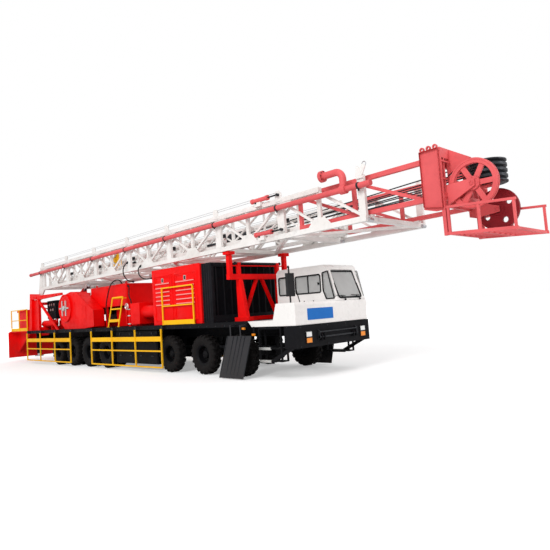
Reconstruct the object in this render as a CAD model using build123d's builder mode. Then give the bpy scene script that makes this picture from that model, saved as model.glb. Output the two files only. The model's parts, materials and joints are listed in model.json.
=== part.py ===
from build123d import *
import os
from math import atan2, cos, degrees, hypot, radians, sin

# Truck-mounted workover rig, parked with its mast lowered over the carrier.
# Millimetres. X points forward, Y to the driver's left, Z up. The ground is Z 0.
# X 0 and Y 0 lie under the middle of the whole machine.

# Whole machine
front_reach = 12100
rear_reach = 12100
side_names = (("right", -1), ("left", 1))

# Wheels and axles
tyre_diameter = 1125
tyre_width = 312
tyre_shoulder = 45
rim_diameter = 560
rim_dish = 90
hub_diameter = 250
twin_gap = 36
wheel_gap = 6
axle_height = tyre_diameter / 2
single_track = 2490
twin_outer_track = 2500
steer_axles = ((1, 4886), (2, 3300), (3, 1610))
drive_axles = ((4, -2414), (5, -3801), (6, -5188), (7, -6576))
spindle_diameter = 90
drive_spindle_end = 990
kingpin_diameter = 70
kingpin_offset = 1005
knuckle_height = 150
knuckle_size = 130
running_gap = 0.05
rest_gap = 0.3
clear_gap = 6
axle_beam_size = 140
axle_ear_thickness = 40
differential_diameter = 430

# Chassis
rail_offset = 430
rail_height = 360
rail_flange = 140
rail_plate = 25
rail_top = 1360
rail_front = 6640
rail_rear = -9700
deck_top = 1450
deck_half_width = 1450
deck_rear = -9760
deck_front = 5350
deck_skin = 30
deck_edge_depth = 130
spring_length = 1040
spring_height = 90
spring_width = 80
hanger_length = 70

# Front body and half cab
body_half_width = 1420
body_front = 7030
body_top = 1850
body_bottom = 1300
body_rear = 6330
skirt_rear = 5350
cab_right = 150
cab_left = 1400
cab_rear = 4920
cab_roof = 2800
cab_wall = 45
cab_nose_height = 1790
screen_low = 1880
screen_high = 2680
screen_lean = 300
glass_thickness = 6
door_gap = 8
door_rear = 5340
door_front = 6240
door_low = 1500
door_high = 2700

# Bumper
bumper_front = 7050
bumper_thickness = 410
bumper_half_width = 1430
bumper_low = 760
bumper_high = 1296

# Radiator and engine house
house_rear = 800
house_front = 3340
house_half_width = 1350
house_top = 3170
radiator_front = 3760
radiator_half_width = 1290
radiator_top = 3150

# Mast: drawn level, the upper section inside the lower one, then tilted about its hinge
mast_tilt = 0.8
mast_low = 3210
mast_high = 4220
mast_half_width = 1240
mast_chord = 120
mast_rear = -8520
mast_front = 9110
bay_count = 7
plate_rise = 190
floor_height = 110
upper_half_width = 1010
upper_low = 3370
upper_high = 4230
upper_chord = 100
upper_rear = -8200
paint_break = 7000
crown_rear = 10350
crown_front = 10790
crown_high = 4385
crown_half_width = 1010
basket_low = 2650
basket_droop = 95
basket_rail_height = 570
basket_right = -1000
basket_left = 560

# Mast hinge and lifting cylinders
hinge_x = -8700
hinge_z = 2900
hinge_pin = 120
ear_thickness = 50
lift_offset = 560
lift_foot_x = -7950
lift_foot_z = 1760
lift_eye_x = -5400
lift_eye_z = 3110
lift_barrel_radius = 110
lift_rod_radius = 60
lift_eye_radius = 95
lift_eye_half = 65
lift_lug_thickness = 30
lift_pin = 70

# Standpipe
pipe_radius = 65
pipe_y = -1330
pipe_z = 3970
pipe_rear = -9350
pipe_front = 9370
neck_x = 8640

os.makedirs("parts", exist_ok=True)


def write(piece, name):
    # Label one finished sub-part and write its file.
    piece.part.label = name
    export_step(piece.part, "parts/" + name + ".step")


def write_tilted(piece, name):
    # Tilt one finished sub-part of the mast about the hinge, label it and write its file.
    tilted = piece.part.rotate(Axis((hinge_x, 0, hinge_z), (0, 1, 0)), -mast_tilt)
    tilted.label = name
    export_step(tilted, "parts/" + name + ".step")


def tilt_point(x, z):
    # Where a point of the level mast lies once the mast is tilted, as (x, z).
    run, rise = x - hinge_x, z - hinge_z
    turn = radians(mast_tilt)
    return (hinge_x + run * cos(turn) - rise * sin(turn),
            hinge_z + run * sin(turn) + rise * cos(turn))


def block(x_from, x_to, y_from, y_to, z_from, z_to, mode=Mode.ADD):
    # A square block of the running sub-part between two limits on each axis.
    with BuildSketch(Plane.XY.offset(z_from)) as footprint:
        with Locations(((x_from + x_to) / 2, (y_from + y_to) / 2)):
            Rectangle(x_to - x_from, y_to - y_from)
    extrude(footprint.sketch, amount=z_to - z_from, mode=mode)


def side_plate(outline, y_from, y_to, mode=Mode.ADD):
    # An outline of (x, z) points, as seen from the side, given a width along Y.
    with BuildSketch(Plane.XZ.offset(-y_to)) as profile:
        with BuildLine():
            Polyline(*outline, close=True)
        make_face()
    extrude(profile.sketch, amount=y_to - y_from, mode=mode)


def plan_plate(outline, z_from, z_to, mode=Mode.ADD):
    # An outline of (x, y) points, as seen from above, given a height along Z.
    with BuildSketch(Plane.XY.offset(z_from)) as profile:
        with BuildLine():
            Polyline(*outline, close=True)
        make_face()
    extrude(profile.sketch, amount=z_to - z_from, mode=mode)


def bar(start, end, width, depth, mode=Mode.ADD):
    # A square tube from start to end. Width lies level and depth stands up.
    run = Vector(*end) - Vector(*start)
    across = Vector(0, 0, 1).cross(run)
    if across.length < 1:
        across = Vector(0, 1, 0)
    with BuildSketch(Plane(origin=start, x_dir=across, z_dir=run)) as section:
        Rectangle(width, depth)
    extrude(section.sketch, amount=run.length, mode=mode)


def rod(start, end, radius, mode=Mode.ADD):
    # A round bar from start to end.
    run = Vector(*end) - Vector(*start)
    with BuildSketch(Plane(origin=start, z_dir=run)) as section:
        Circle(radius)
    extrude(section.sketch, amount=run.length, mode=mode)


def cross_pin(x, z, y_from, y_to, radius, mode=Mode.ADD):
    # A round bar across the machine, along Y.
    rod((x, y_from, z), (x, y_to, z), radius, mode)


def both_sides(y_near, y_far):
    # The (from, to) limits of one thing on the right and again on the left.
    return ((-y_far, -y_near), (y_near, y_far))


# Chassis: two rails of I section, joined by cross-members
with BuildPart() as chassis_frame:
    rail_low = rail_top - rail_height
    for side, hand in side_names:
        centre = hand * rail_offset
        block(rail_rear, rail_front, centre - rail_flange / 2, centre + rail_flange / 2,
              rail_low, rail_low + rail_plate)
        block(rail_rear, rail_front, centre - rail_flange / 2, centre + rail_flange / 2,
              rail_top - rail_plate, rail_top)
        block(rail_rear, rail_front, centre - rail_plate / 2, centre + rail_plate / 2,
              rail_low, rail_top)
    member_pitch = (rail_front - rail_rear - 400) / 7
    for number in range(8):
        station = rail_rear + 200 + number * member_pitch
        block(station - 60, station + 60, -rail_offset, rail_offset, rail_low + 60, rail_top - 60)
write(chassis_frame, "chassis_frame")

# Axle beams with their springs, all fixed under the rails
spring_base = axle_height + axle_beam_size / 2
kingpin_low = axle_height - knuckle_height / 2 - clear_gap - axle_ear_thickness
kingpin_high = axle_height + knuckle_height / 2 + clear_gap + axle_ear_thickness
with BuildPart() as axles:
    for number, station in steer_axles:
        reach = kingpin_offset - knuckle_size / 2 - clear_gap
        bar((station, -reach, axle_height), (station, reach, axle_height),
            axle_beam_size, axle_beam_size)
        for side, hand in side_names:
            inner, outer = reach - 90, kingpin_offset + 45
            near, far = sorted((hand * inner, hand * outer))
            for base in (kingpin_low, kingpin_high - axle_ear_thickness):
                block(station - 50, station + 50, near, far, base, base + axle_ear_thickness)
            near, far = sorted((hand * inner, hand * reach))
            block(station - 50, station + 50, near, far, kingpin_low, kingpin_high)
            pin_y = hand * kingpin_offset
            rod((station, pin_y, kingpin_low), (station, pin_y, kingpin_high),
                kingpin_diameter / 2 + running_gap, Mode.SUBTRACT)
    for number, station in drive_axles:
        reach = (twin_outer_track - tyre_width) / 2 - tyre_width - twin_gap - 2 * clear_gap
        bar((station, -reach, axle_height), (station, reach, axle_height),
            axle_beam_size, axle_beam_size)
        cross_pin(station, axle_height, -drive_spindle_end, drive_spindle_end,
                  spindle_diameter / 2)
    for number, station in steer_axles + drive_axles:
        rod((station - 190, 0, axle_height), (station + 190, 0, axle_height),
            differential_diameter / 2)
        for side, hand in side_names:
            near, far = hand * rail_offset - spring_width / 2, hand * rail_offset + spring_width / 2
            block(station - spring_length / 2, station + spring_length / 2, near, far,
                  spring_base, spring_base + spring_height)
            for end in (-1, 1):
                middle = station + end * (spring_length - hanger_length) / 2
                block(middle - hanger_length / 2, middle + hanger_length / 2, near, far,
                      spring_base, rail_low)
write(axles, "axles")

# Steering knuckles: barrel between the ears, kingpin and wheel spindle
spindle_inner = kingpin_offset + knuckle_size / 2
spindle_end = single_track / 2 + 40
for number, station in steer_axles:
    for side, hand in side_names:
        with BuildPart() as knuckle:
            pin_y = hand * kingpin_offset
            rod((station, pin_y, axle_height - knuckle_height / 2),
                (station, pin_y, axle_height + knuckle_height / 2), knuckle_size / 2)
            rod((station, pin_y, kingpin_low), (station, pin_y, kingpin_high), kingpin_diameter / 2)
            rod((station, pin_y, axle_height), (station, hand * spindle_end, axle_height),
                spindle_diameter / 2)
        write(knuckle, "knuckle_" + str(number) + "_" + side)

# The profile of one tyre on its rim, as (distance along the axle, radius) points.
# Outward is toward the hub cap.
half_tyre = tyre_width / 2
tyre_radius = tyre_diameter / 2
rim_radius = rim_diameter / 2
sidewall_radius = tyre_radius - tyre_shoulder


def tyre_ring(middle, hand):
    # One tyre, as a ring about the running axle plane, centred on a distance along it.
    shoulder = half_tyre - tyre_shoulder / 2
    outline = ((-half_tyre + 12, rim_radius - 25), (-half_tyre, sidewall_radius - 60),
               (-shoulder, tyre_radius), (shoulder, tyre_radius),
               (half_tyre, sidewall_radius - 60), (half_tyre - 12, rim_radius - 25))
    with BuildSketch(Plane.XY) as section:
        with BuildLine():
            Polyline(*[(hand * x + middle, r) for x, r in outline], close=True)
        make_face()
    revolve(section.sketch, axis=Axis.X)


def rim_disc(face, hand, hub_inner, hub_outer, bore):
    # A dished wheel disc at a distance along the axle, with its hub.
    outline = ((hub_inner, bore), (hub_inner, hub_diameter / 2), (face - 30, hub_diameter / 2),
               (face - 30 - rim_dish / 2, rim_radius - 20), (face - rim_dish / 2, rim_radius - 20),
               (face, hub_diameter / 2), (hub_outer, hub_diameter / 2 - 15), (hub_outer, bore))
    with BuildSketch(Plane.XY) as section:
        with BuildLine():
            Polyline(*[(hand * x, r) for x, r in outline], close=True)
        make_face()
    revolve(section.sketch, axis=Axis.X)


def place_wheel(wheel, station, name):
    # Turn a wheel made along X onto its axle along Y, and write it.
    placed = wheel.part.rotate(Axis.Z, 90).moved(Location((station, 0, axle_height)))
    placed.label = name
    export_step(placed, "parts/" + name + ".step")


# Single wheels of the three steered axles
for side, hand in side_names:
    middle = single_track / 2
    with BuildPart() as single_wheel:
        tyre_ring(hand * middle, hand)
        rim_disc(middle - 20, hand, spindle_inner + 5 + wheel_gap, middle + 70,
                 spindle_diameter / 2 + running_gap)
    for number, station in steer_axles:
        place_wheel(single_wheel, station, "wheel_" + str(number) + "_" + side)

# Twin wheels of the four driven axles
twin_pitch = tyre_width + twin_gap
for side, hand in side_names:
    outer_middle = twin_outer_track / 2
    inner_middle = outer_middle - twin_pitch
    with BuildPart() as twin_wheel:
        tyre_ring(hand * outer_middle, hand)
        tyre_ring(hand * inner_middle, hand)
        rim_disc(inner_middle + 60, hand, inner_middle - half_tyre + 20, outer_middle - 60,
                 spindle_diameter / 2 + running_gap)
        rim_disc(outer_middle - 60, hand, drive_spindle_end + wheel_gap, outer_middle + 60, 0)
    for number, station in drive_axles:
        place_wheel(twin_wheel, station, "wheel_" + str(number) + "_" + side)

# Deck: skin on cross-bearers, with a turned-down edge
with BuildPart() as deck:
    block(deck_rear, deck_front, -deck_half_width, deck_half_width, deck_top - deck_skin, deck_top)
    for near, far in both_sides(deck_half_width - 40, deck_half_width):
        block(deck_rear, deck_front, near, far, deck_top - deck_edge_depth, deck_top)
    for near, far in both_sides(rail_offset - 45, rail_offset + 45):
        block(deck_rear + 60, deck_front, near, far, rail_top, deck_top - deck_skin)
    bearer_pitch = (deck_front - deck_rear - 200) / 12
    for number in range(13):
        station = deck_rear + 100 + number * bearer_pitch
        block(station - 35, station + 35, -deck_half_width, deck_half_width, rail_top,
              deck_top - deck_skin)
write(deck, "deck")

# White front body: nose box across the machine, floor of the cab and side skirts
with BuildPart() as front_body:
    nose = ((body_rear, body_bottom), (body_front, body_bottom), (body_front, cab_nose_height),
            (body_front - 25, body_top), (body_rear + 70, body_top), (body_rear - 60, deck_top))
    side_plate(nose, -body_half_width, body_half_width)
    block(body_rear, body_front - cab_wall, -body_half_width + cab_wall,
          body_half_width - cab_wall, body_bottom, body_top - cab_wall, Mode.SUBTRACT)
    block(body_rear - 80, rail_front + 60, -rail_offset - 80, rail_offset + 80, body_bottom - 1,
          rail_top, Mode.SUBTRACT)
    block(deck_front, body_rear + 40, -body_half_width, body_half_width,
          deck_top - deck_skin, deck_top)
    for near, far in both_sides(body_half_width - cab_wall, body_half_width):
        skirt = ((skirt_rear, deck_top), (skirt_rear + 130, body_bottom),
                 (body_front - 200, body_bottom), (body_front - 200, deck_top))
        side_plate(skirt, near, far)
    block(rail_front - 1290, rail_front, -rail_offset - 45, rail_offset + 45, rail_top,
          deck_top - deck_skin)
write(front_body, "front_body")

# Half cab on the left: side outlines seen from the side, hollow, with cut windows
cab_front = body_front - 10
screen_top_x = cab_front - screen_lean
cab_outline = ((cab_rear, deck_top), (cab_rear, cab_roof - 90), (cab_rear + 90, cab_roof),
               (screen_top_x - 60, cab_roof), (screen_top_x + 20, cab_roof - 60),
               (cab_front, screen_low - 30), (body_rear + 60, body_top),
               (body_rear - 60, deck_top))
cab_hollow = ((cab_rear + cab_wall, deck_top), (cab_rear + cab_wall, cab_roof - 90 - 20),
              (cab_rear + 90 + 20, cab_roof - cab_wall),
              (screen_top_x - 80, cab_roof - cab_wall), (screen_top_x - 25, cab_roof - 80),
              (cab_front - cab_wall, screen_low - 30), (body_rear + 60, body_top),
              (body_rear - 60, deck_top))
side_windows = (
    # rear, front, low, high
    (cab_rear + 80, 5590, 2080, 2580),
    (5640, 6540, 2080, 2560),
)
quarter_window = ((6600, 2600), (6820, 2640), (7000, 1930), (6960, 1890), (6680, 1890),
                  (6600, 2120))
screen_slope = degrees(atan2(screen_lean, screen_high - screen_low))
screen_plane = Plane(origin=(cab_front, (cab_right + cab_left) / 2, screen_low),
                     x_dir=(0, 1, 0), z_dir=(cos(radians(screen_slope)), 0,
                                             sin(radians(screen_slope))))
screen_length = hypot(screen_lean, screen_high - screen_low)
screen_width = cab_left - cab_right - 300


def screen_sketch(inset):
    # The windscreen's rounded outline on its leaning plane, made smaller by the inset.
    with BuildSketch(screen_plane) as pane:
        with Locations((0, screen_length / 2)):
            RectangleRounded(screen_width - 2 * inset, screen_length - 60 - 2 * inset, 60)
    return pane.sketch


def window_sketch(y, rear, front, low, high, inset):
    # A rounded side window's outline on a plane of constant Y.
    with BuildSketch(Plane.XZ.offset(-y)) as pane:
        with Locations(((rear + front) / 2, (low + high) / 2)):
            RectangleRounded(front - rear - 2 * inset, high - low - 2 * inset, 50)
    return pane.sketch


def quarter_sketch(y, inset):
    # The three-cornered quarter window's outline, made smaller by the inset.
    with BuildSketch(Plane.XZ.offset(-y)) as pane:
        with BuildLine():
            Polyline(*quarter_window, close=True)
        make_face()
        offset(amount=-inset, kind=Kind.INTERSECTION)
    return pane.sketch


door_hinge_x, door_hinge_y = door_front + 12, cab_left + 16
door_pin_radius = 8
hinge_heights = (1800, 2460)
with BuildPart() as cab_shell:
    side_plate(cab_outline, cab_right, cab_left)
    side_plate(cab_hollow, cab_right + cab_wall, cab_left - cab_wall, Mode.SUBTRACT)
    for rear, front, low, high in side_windows:
        pane = window_sketch(cab_right + cab_wall + 5, rear, front, low, high, 0)
        extrude(pane, amount=cab_wall + 10, mode=Mode.SUBTRACT)
    extrude(quarter_sketch(cab_right + cab_wall + 5, 0), amount=cab_wall + 10, mode=Mode.SUBTRACT)
    extrude(quarter_sketch(cab_left + 5, 0), amount=cab_wall + 10, mode=Mode.SUBTRACT)
    extrude(screen_sketch(0), amount=120, both=True, mode=Mode.SUBTRACT)
    block(door_rear, door_front, cab_left - cab_wall - 5, cab_left + 5, door_low, door_high,
          Mode.SUBTRACT)
    block(cab_rear - 5, cab_rear + cab_wall + 5, cab_right + 220, cab_left - 220, 2080, 2580,
          Mode.SUBTRACT)
    for z in hinge_heights:
        block(door_front + 2, door_front + 70, cab_left, door_hinge_y + 14, z - 30, z)
        rod((door_hinge_x, door_hinge_y, z - 30), (door_hinge_x, door_hinge_y, z + 60),
            door_pin_radius)
write(cab_shell, "cab_shell")

# Glass of the cab, each pane set in the middle of its wall
glass_inset = 0.3
middle_wall = (cab_wall - glass_thickness) / 2
with BuildPart() as cab_glass:
    for rear, front, low, high in side_windows:
        pane = window_sketch(cab_right + cab_wall - middle_wall, rear, front, low, high,
                             glass_inset)
        extrude(pane, amount=glass_thickness)
    extrude(quarter_sketch(cab_right + cab_wall - middle_wall, glass_inset),
            amount=glass_thickness)
    extrude(quarter_sketch(cab_left - middle_wall, glass_inset), amount=glass_thickness)
    extrude(screen_sketch(glass_inset), amount=-glass_thickness)
    block(cab_rear + middle_wall, cab_rear + middle_wall + glass_thickness,
          cab_right + 220 + glass_inset, cab_left - 220 - glass_inset, 2080 + glass_inset,
          2580 - glass_inset)
write(cab_glass, "cab_glass")

# Cab door on the left, hinged at its front edge
with BuildPart() as cab_door:
    block(door_rear + door_gap, door_front - door_gap, cab_left - cab_wall, cab_left,
          door_low + door_gap, door_high - door_gap)
    pane = window_sketch(cab_left + 5, door_rear + 100, door_front - 100, 2080, 2600, 0)
    extrude(pane, amount=cab_wall + 10, mode=Mode.SUBTRACT)
    pane = window_sketch(cab_left - middle_wall, door_rear + 99, door_front - 99, 2079, 2601, 0)
    extrude(pane, amount=glass_thickness)
    block(door_rear + 60, door_rear + 190, cab_left, cab_left + 35, 1960, 1990)
    for z in hinge_heights:
        low = z + rest_gap
        block(door_front - 90, door_hinge_x, cab_left + 2, door_hinge_y + 14, low, low + 55)
        block(door_front - 90, door_front - door_gap - 4, cab_left, cab_left + 4, low, low + 55)
        rod((door_hinge_x, door_hinge_y, low), (door_hinge_x, door_hinge_y, low + 55), 14)
        rod((door_hinge_x, door_hinge_y, low - 5), (door_hinge_x, door_hinge_y, low + 60),
            door_pin_radius + running_gap, Mode.SUBTRACT)
write(cab_door, "cab_door")

# Driver's seat, dashboard and steering wheel
seat_y = (cab_right + cab_left) / 2
with BuildPart() as cab_seat:
    block(5350, 5850, seat_y - 250, seat_y + 250, deck_top, 1800)
    block(5330, 5880, seat_y - 260, seat_y + 260, 1800, 1930)
    side_plate(((5330, 1930), (5450, 1930), (5390, 2560), (5290, 2560)), seat_y - 240,
               seat_y + 240)
    side_plate(((6420, body_top), (6950, body_top), (6900, 1980), (6560, 2060), (6400, 1990)),
               cab_right + cab_wall + 60, cab_left - cab_wall - 60)
    rod((6480, seat_y, 1990), (6280, seat_y, 2110), 30)
    rod((6285, seat_y, 2095), (6262, seat_y, 2110), 220)
write(cab_seat, "cab_seat")

# Bumper: a folded channel with two rows of tow lugs
with BuildPart() as bumper:
    outline = ((bumper_front - bumper_thickness, bumper_low), (bumper_front, bumper_low),
               (bumper_front, bumper_high), (bumper_front - bumper_thickness, bumper_high))
    side_plate(outline, -bumper_half_width, bumper_half_width)
    block(bumper_front - bumper_thickness, bumper_front - 30, -bumper_half_width + 30,
          bumper_half_width - 30, bumper_low, bumper_high - 30, Mode.SUBTRACT)
    for y in (-1010, 1130):
        block(bumper_front - 20, bumper_front, y - 120, y + 120, 850, 1150, Mode.SUBTRACT)
    for y in (-560, 700):
        for offset_y in (-60, 40):
            block(bumper_front, bumper_front + 90, y + offset_y, y + offset_y + 25, 900, 1060)
            cross_pin(bumper_front + 50, 980, y + offset_y - 5, y + offset_y + 30, 22,
                      Mode.SUBTRACT)
    block(bumper_front - bumper_thickness, bumper_front - 30, -rail_offset - 70, rail_offset + 70,
          rail_low, rail_low + 60)
    block(rail_front, rail_front + 30, -rail_offset - 70, rail_offset + 70, rail_low, rail_low + 250)
write(bumper, "bumper")

# Head lamps over turn lamps, seated in the bumper's recesses
with BuildPart() as lamps:
    for y in (-1010, 1130):
        block(bumper_front - 20, bumper_front + 8, y - 110, y + 110, 1005, 1145)
        block(bumper_front - 20, bumper_front + 8, y - 110, y + 110, 860, 1000)
write(lamps, "lamps")

# Step frames hung below the front body on both sides, with two treads each
step_rear, step_front = 5720, 6680
with BuildPart() as side_steps:
    for near, far in both_sides(1180, body_half_width):
        for z in (440, 750):
            block(step_rear, step_front - 160, near, far, z, z + 30)
        for x in (step_rear, step_front - 200):
            block(x, x + 40, near, near + 40, 440, body_bottom)
            block(x, x + 40, far - 40, far, 440, body_bottom)
        block(step_rear, step_front - 160, near, far, body_bottom - 60, body_bottom)
write(side_steps, "side_steps")

# Mirrors: the right one on a post on the front body, the left one on an arm from the cab
mirror_width, mirror_low, mirror_high = 230, 2000, 2560
with BuildPart() as mirrors:
    rod((6800, -1300, body_top), (6800, -1300, 2700), 20)
    block(6780, 6860, -1300 - mirror_width / 2, -1300 + mirror_width / 2, mirror_low, mirror_high)
    block(6480, 6560, cab_left, cab_left + 30, 2660, 2710)
    bar((6520, cab_left + 20, 2685), (6540, 1640, 2500), 34, 34)
    block(6500, 6580, 1640 - mirror_width / 2, 1640 + mirror_width / 2, mirror_low, mirror_high)
write(mirrors, "mirrors")

# Radiator: frame with a recessed core, ahead of the engine house
with BuildPart() as radiator:
    block(house_front, radiator_front, -radiator_half_width, radiator_half_width,
          deck_top, radiator_top)
    block(radiator_front - 60, radiator_front, -radiator_half_width + 110,
          radiator_half_width - 110, deck_top + 200, radiator_top - 110, Mode.SUBTRACT)
    for number in range(9):
        y = -radiator_half_width + 220 + number * (2 * radiator_half_width - 440) / 8
        block(radiator_front - 60, radiator_front - 30, y - 20, y + 20, deck_top + 200,
              radiator_top - 110)
write(radiator, "radiator")

# Engine house: hollow box with louvred panels on both sides
panel_table = (
    # rear, front
    (house_rear + 150, 1950),
    (2060, house_front - 130),
)
with BuildPart() as engine_house:
    block(house_rear, house_front, -house_half_width, house_half_width, deck_top, house_top)
    block(house_rear + 30, house_front - 30, -house_half_width + 30, house_half_width - 30,
          deck_top, house_top - 30, Mode.SUBTRACT)
    for near, far in both_sides(house_half_width, house_half_width + 18):
        for rear, front in panel_table:
            block(rear, front, near, far, deck_top + 110, house_top - 180)
    for near, far in both_sides(house_half_width + 18, house_half_width + 40):
        for rear, front in panel_table:
            for number in range(6):
                z = deck_top + 620 + number * 130
                block(rear + 130, front - 130, near, far, z, z + 50)
write(engine_house, "engine_house")

# Front rest: A-frame that carries the lowered mast
rest_x, rest_half, rest_leg_y = 4350, 1080, 760
rest_beam_low, rest_beam_high = 2610, 2760
rest_top = tilt_point(rest_x, mast_low)[1] - rest_gap
with BuildPart() as front_rest:
    for hand in (-1, 1):
        y = hand * rest_leg_y
        side_plate(((rest_x - 60, deck_top + 110), (rest_x + 300, deck_top + 110),
                    (rest_x + 90, rest_beam_low), (rest_x - 60, rest_beam_low)), y - 60, y + 60)
        block(rest_x - 60, rest_x + 60, hand * rest_half - 60, hand * rest_half + 60,
              rest_beam_low, rest_top - 90)
        side_plate(((rest_x - 120, rest_top - 90), (rest_x + 120, rest_top - 90),
                    (rest_x + 120, rest_top - 2), (rest_x - 120, rest_top - 5)),
                   hand * rest_half - 120, hand * rest_half + 120)
        block(rest_x - 50, rest_x + 50, y - 50, y + 50, rest_beam_high, rest_beam_high + 330)
        bar((rest_x, hand * 640, deck_top + 100), (rest_x, hand * 90, rest_beam_low + 40), 80, 80)
        block(rest_x - 160, rest_x + 420, y - 100, y + 100, deck_top, deck_top + 110)
    block(rest_x - 70, rest_x + 70, -rest_half - 70, rest_half + 70, rest_beam_low, rest_beam_high)
    rod((rest_x, -rest_half, rest_beam_high + 240), (rest_x, rest_half, rest_beam_high + 240), 18)
    block(rest_x - 60, rest_x + 60, -rest_leg_y, rest_leg_y, deck_top, deck_top + 110)
write(front_rest, "front_rest")

# Rear base frame: two side frames that hold the mast hinge, tied across the deck
base_offset = 1345
tie_low, tie_high = 2560, 2680
with BuildPart() as base_frame:
    for hand in (-1, 1):
        y = hand * base_offset
        inner = hand * (base_offset - 55 - rest_gap)
        side_plate(((-9640, deck_top), (-9330, deck_top), (-9240, 2860), (-9420, 3110)),
                   y - 55, y + 55)
        side_plate(((-8640, deck_top), (-8460, deck_top), (-8460, 2960), (-8640, 2960)),
                   y - 55, y + 55)
        side_plate(((-9420, 3110), (-9420, 2860), (-8460, 2800), (-6100, 2860), (-6100, 2960),
                    (-8430, 2980), (-8560, 3050), (-8840, 3070)), y - 45, y + 45)
        side_plate(((-8640, 2760), (-8480, 2790), (-6560, deck_top), (-6700, deck_top)),
                   y - 30, y + 30)
        cross_pin(hinge_x, hinge_z, y - hand * 45 - 120, y - hand * 45 + 120, hinge_pin / 2)
        bar((-8550, inner, tie_low - 70), (-8550, -inner, deck_top + 230), 60, 40)
        for side in (-1, 1):
            y = hand * lift_offset + side * 100
            side_plate(((lift_foot_x - 150, deck_top), (lift_foot_x + 150, deck_top),
                        (lift_foot_x + 80, lift_foot_z + 80), (lift_foot_x - 80, lift_foot_z + 80)),
                       y - 20, y + 20)
        cross_pin(lift_foot_x, lift_foot_z, hand * lift_offset - 120, hand * lift_offset + 120,
                  lift_pin / 2)
    tie_end = base_offset - 55 - rest_gap
    block(-8640, -8460, -tie_end, tie_end, tie_low, tie_high)
    block(-8640, -8460, -tie_end, tie_end, deck_top, deck_top + 150)
write(base_frame, "base_frame")

# Drawworks: two polygonal chain cases with round brake covers, and the drum between them
drum_x, drum_z = -5920, 2300
drum_radius, drum_flange_radius = 330, 620
case_inner, case_outer = 840, 1260
case_outline = ((-6480, 1700), (-6480, 2500), (-6230, 2820), (-5450, 2940), (-4900, 2900),
                (-3500, 2130), (-3500, 1500), (-4400, deck_top), (-6100, deck_top))
with BuildPart() as drawworks_case:
    for near, far in both_sides(case_inner, case_outer):
        side_plate(case_outline, near, far)
    for near, far in both_sides(case_outer, case_outer + 60):
        cross_pin(drum_x, drum_z, near, far, 560)
    for near, far in both_sides(case_outer + 60, case_outer + 110):
        block(drum_x - 420, drum_x + 420, near, far, drum_z - 25, drum_z + 25)
        for x in (drum_x - 160, drum_x + 160):
            block(x - 25, x + 25, near, far, drum_z - 300, drum_z + 300)
    cross_pin(drum_x, drum_z, -case_outer, case_outer, 60 + running_gap, Mode.SUBTRACT)
    block(-4300, -4100, -case_inner, case_inner, deck_top, 1700)
write(drawworks_case, "drawworks_case")

with BuildPart() as drum:
    cross_pin(drum_x, drum_z, -case_inner + 60, case_inner - 60, drum_radius)
    cross_pin(drum_x, drum_z, -case_outer + 40, case_outer - 40, 60)
    for near, far in both_sides(case_inner - 60 - 45, case_inner - 60):
        cross_pin(drum_x, drum_z, near, far, drum_flange_radius)
        cross_pin(drum_x, drum_z, near, far, drum_radius + rest_gap, Mode.SUBTRACT)
        cross_pin(drum_x, drum_z, near, far, drum_radius)
write(drum, "drum")

# Machinery hood on legs, over the transmission
hood_half = case_inner - 10
with BuildPart() as machinery_hood:
    block(-4550, -1770, -hood_half, hood_half, 2200, 3000)
    block(-4510, -1810, -hood_half + 40, hood_half - 40, 2199, 2960, Mode.SUBTRACT)
    for x in (-3380, -1860):
        for y in (-hood_half + 50, hood_half - 50):
            block(x - 50, x + 50, y - 50, y + 50, deck_top, 2300)
write(machinery_hood, "machinery_hood")

# Transmission: main case, shaft housing, side box and valve stand, and the engine's mass
with BuildPart() as gearbox:
    block(-3200, 640, -480, 480, deck_top, 2140)
    block(-850, -250, -1230, -480, deck_top + 60, 2230)
    block(-700, -400, -1100, -480, deck_top, deck_top + 60)
    rod((-250, -960, 1900), (760, -960, 1900), 210)
    rod((-1030, -1150, deck_top), (-1030, -1150, 2060), 50)
    block(-1120, -940, -1240, -1060, 2060, 2220)
    block(-940, -850, -1190, -1110, 2090, 2170)
    block(1250, 3000, -420, 420, deck_top, 2650)
write(gearbox, "gearbox")

# Yellow guard rails hung upside down outside the deck edge, in two sets on each side
hang_sets = (
    # first post, last post
    (-9530, -5000),
    (-3200, 1480),
)
hang_inner, hang_outer = deck_half_width + 75, deck_half_width + 115
hang_low, hang_middle, hang_kick = 140, 640, 960
hang_top = 1300
with BuildPart() as hanging_rails:
    for near, far in both_sides(hang_inner, hang_outer):
        inner = near if near > 0 else far
        hand = 1 if near > 0 else -1
        for first, last in hang_sets:
            for number in range(4):
                x = first + number * (last - first) / 3
                block(x - 22, x + 22, near, far, hang_low, hang_top + 40)
                bracket = sorted((hand * deck_half_width, hand * hang_inner))
                block(x - 40, x + 40, bracket[0], bracket[1], deck_top - 120, deck_top - 30)
            block(first, last, near, far, hang_low, hang_low + 44)
            block(first, last, near, far, hang_middle, hang_middle + 44)
            plate = sorted((hand * (hang_inner + 12), hand * (hang_inner + 22)))
            block(first, last, plate[0], plate[1], hang_kick, hang_kick + 150)
write(hanging_rails, "hanging_rails")

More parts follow.
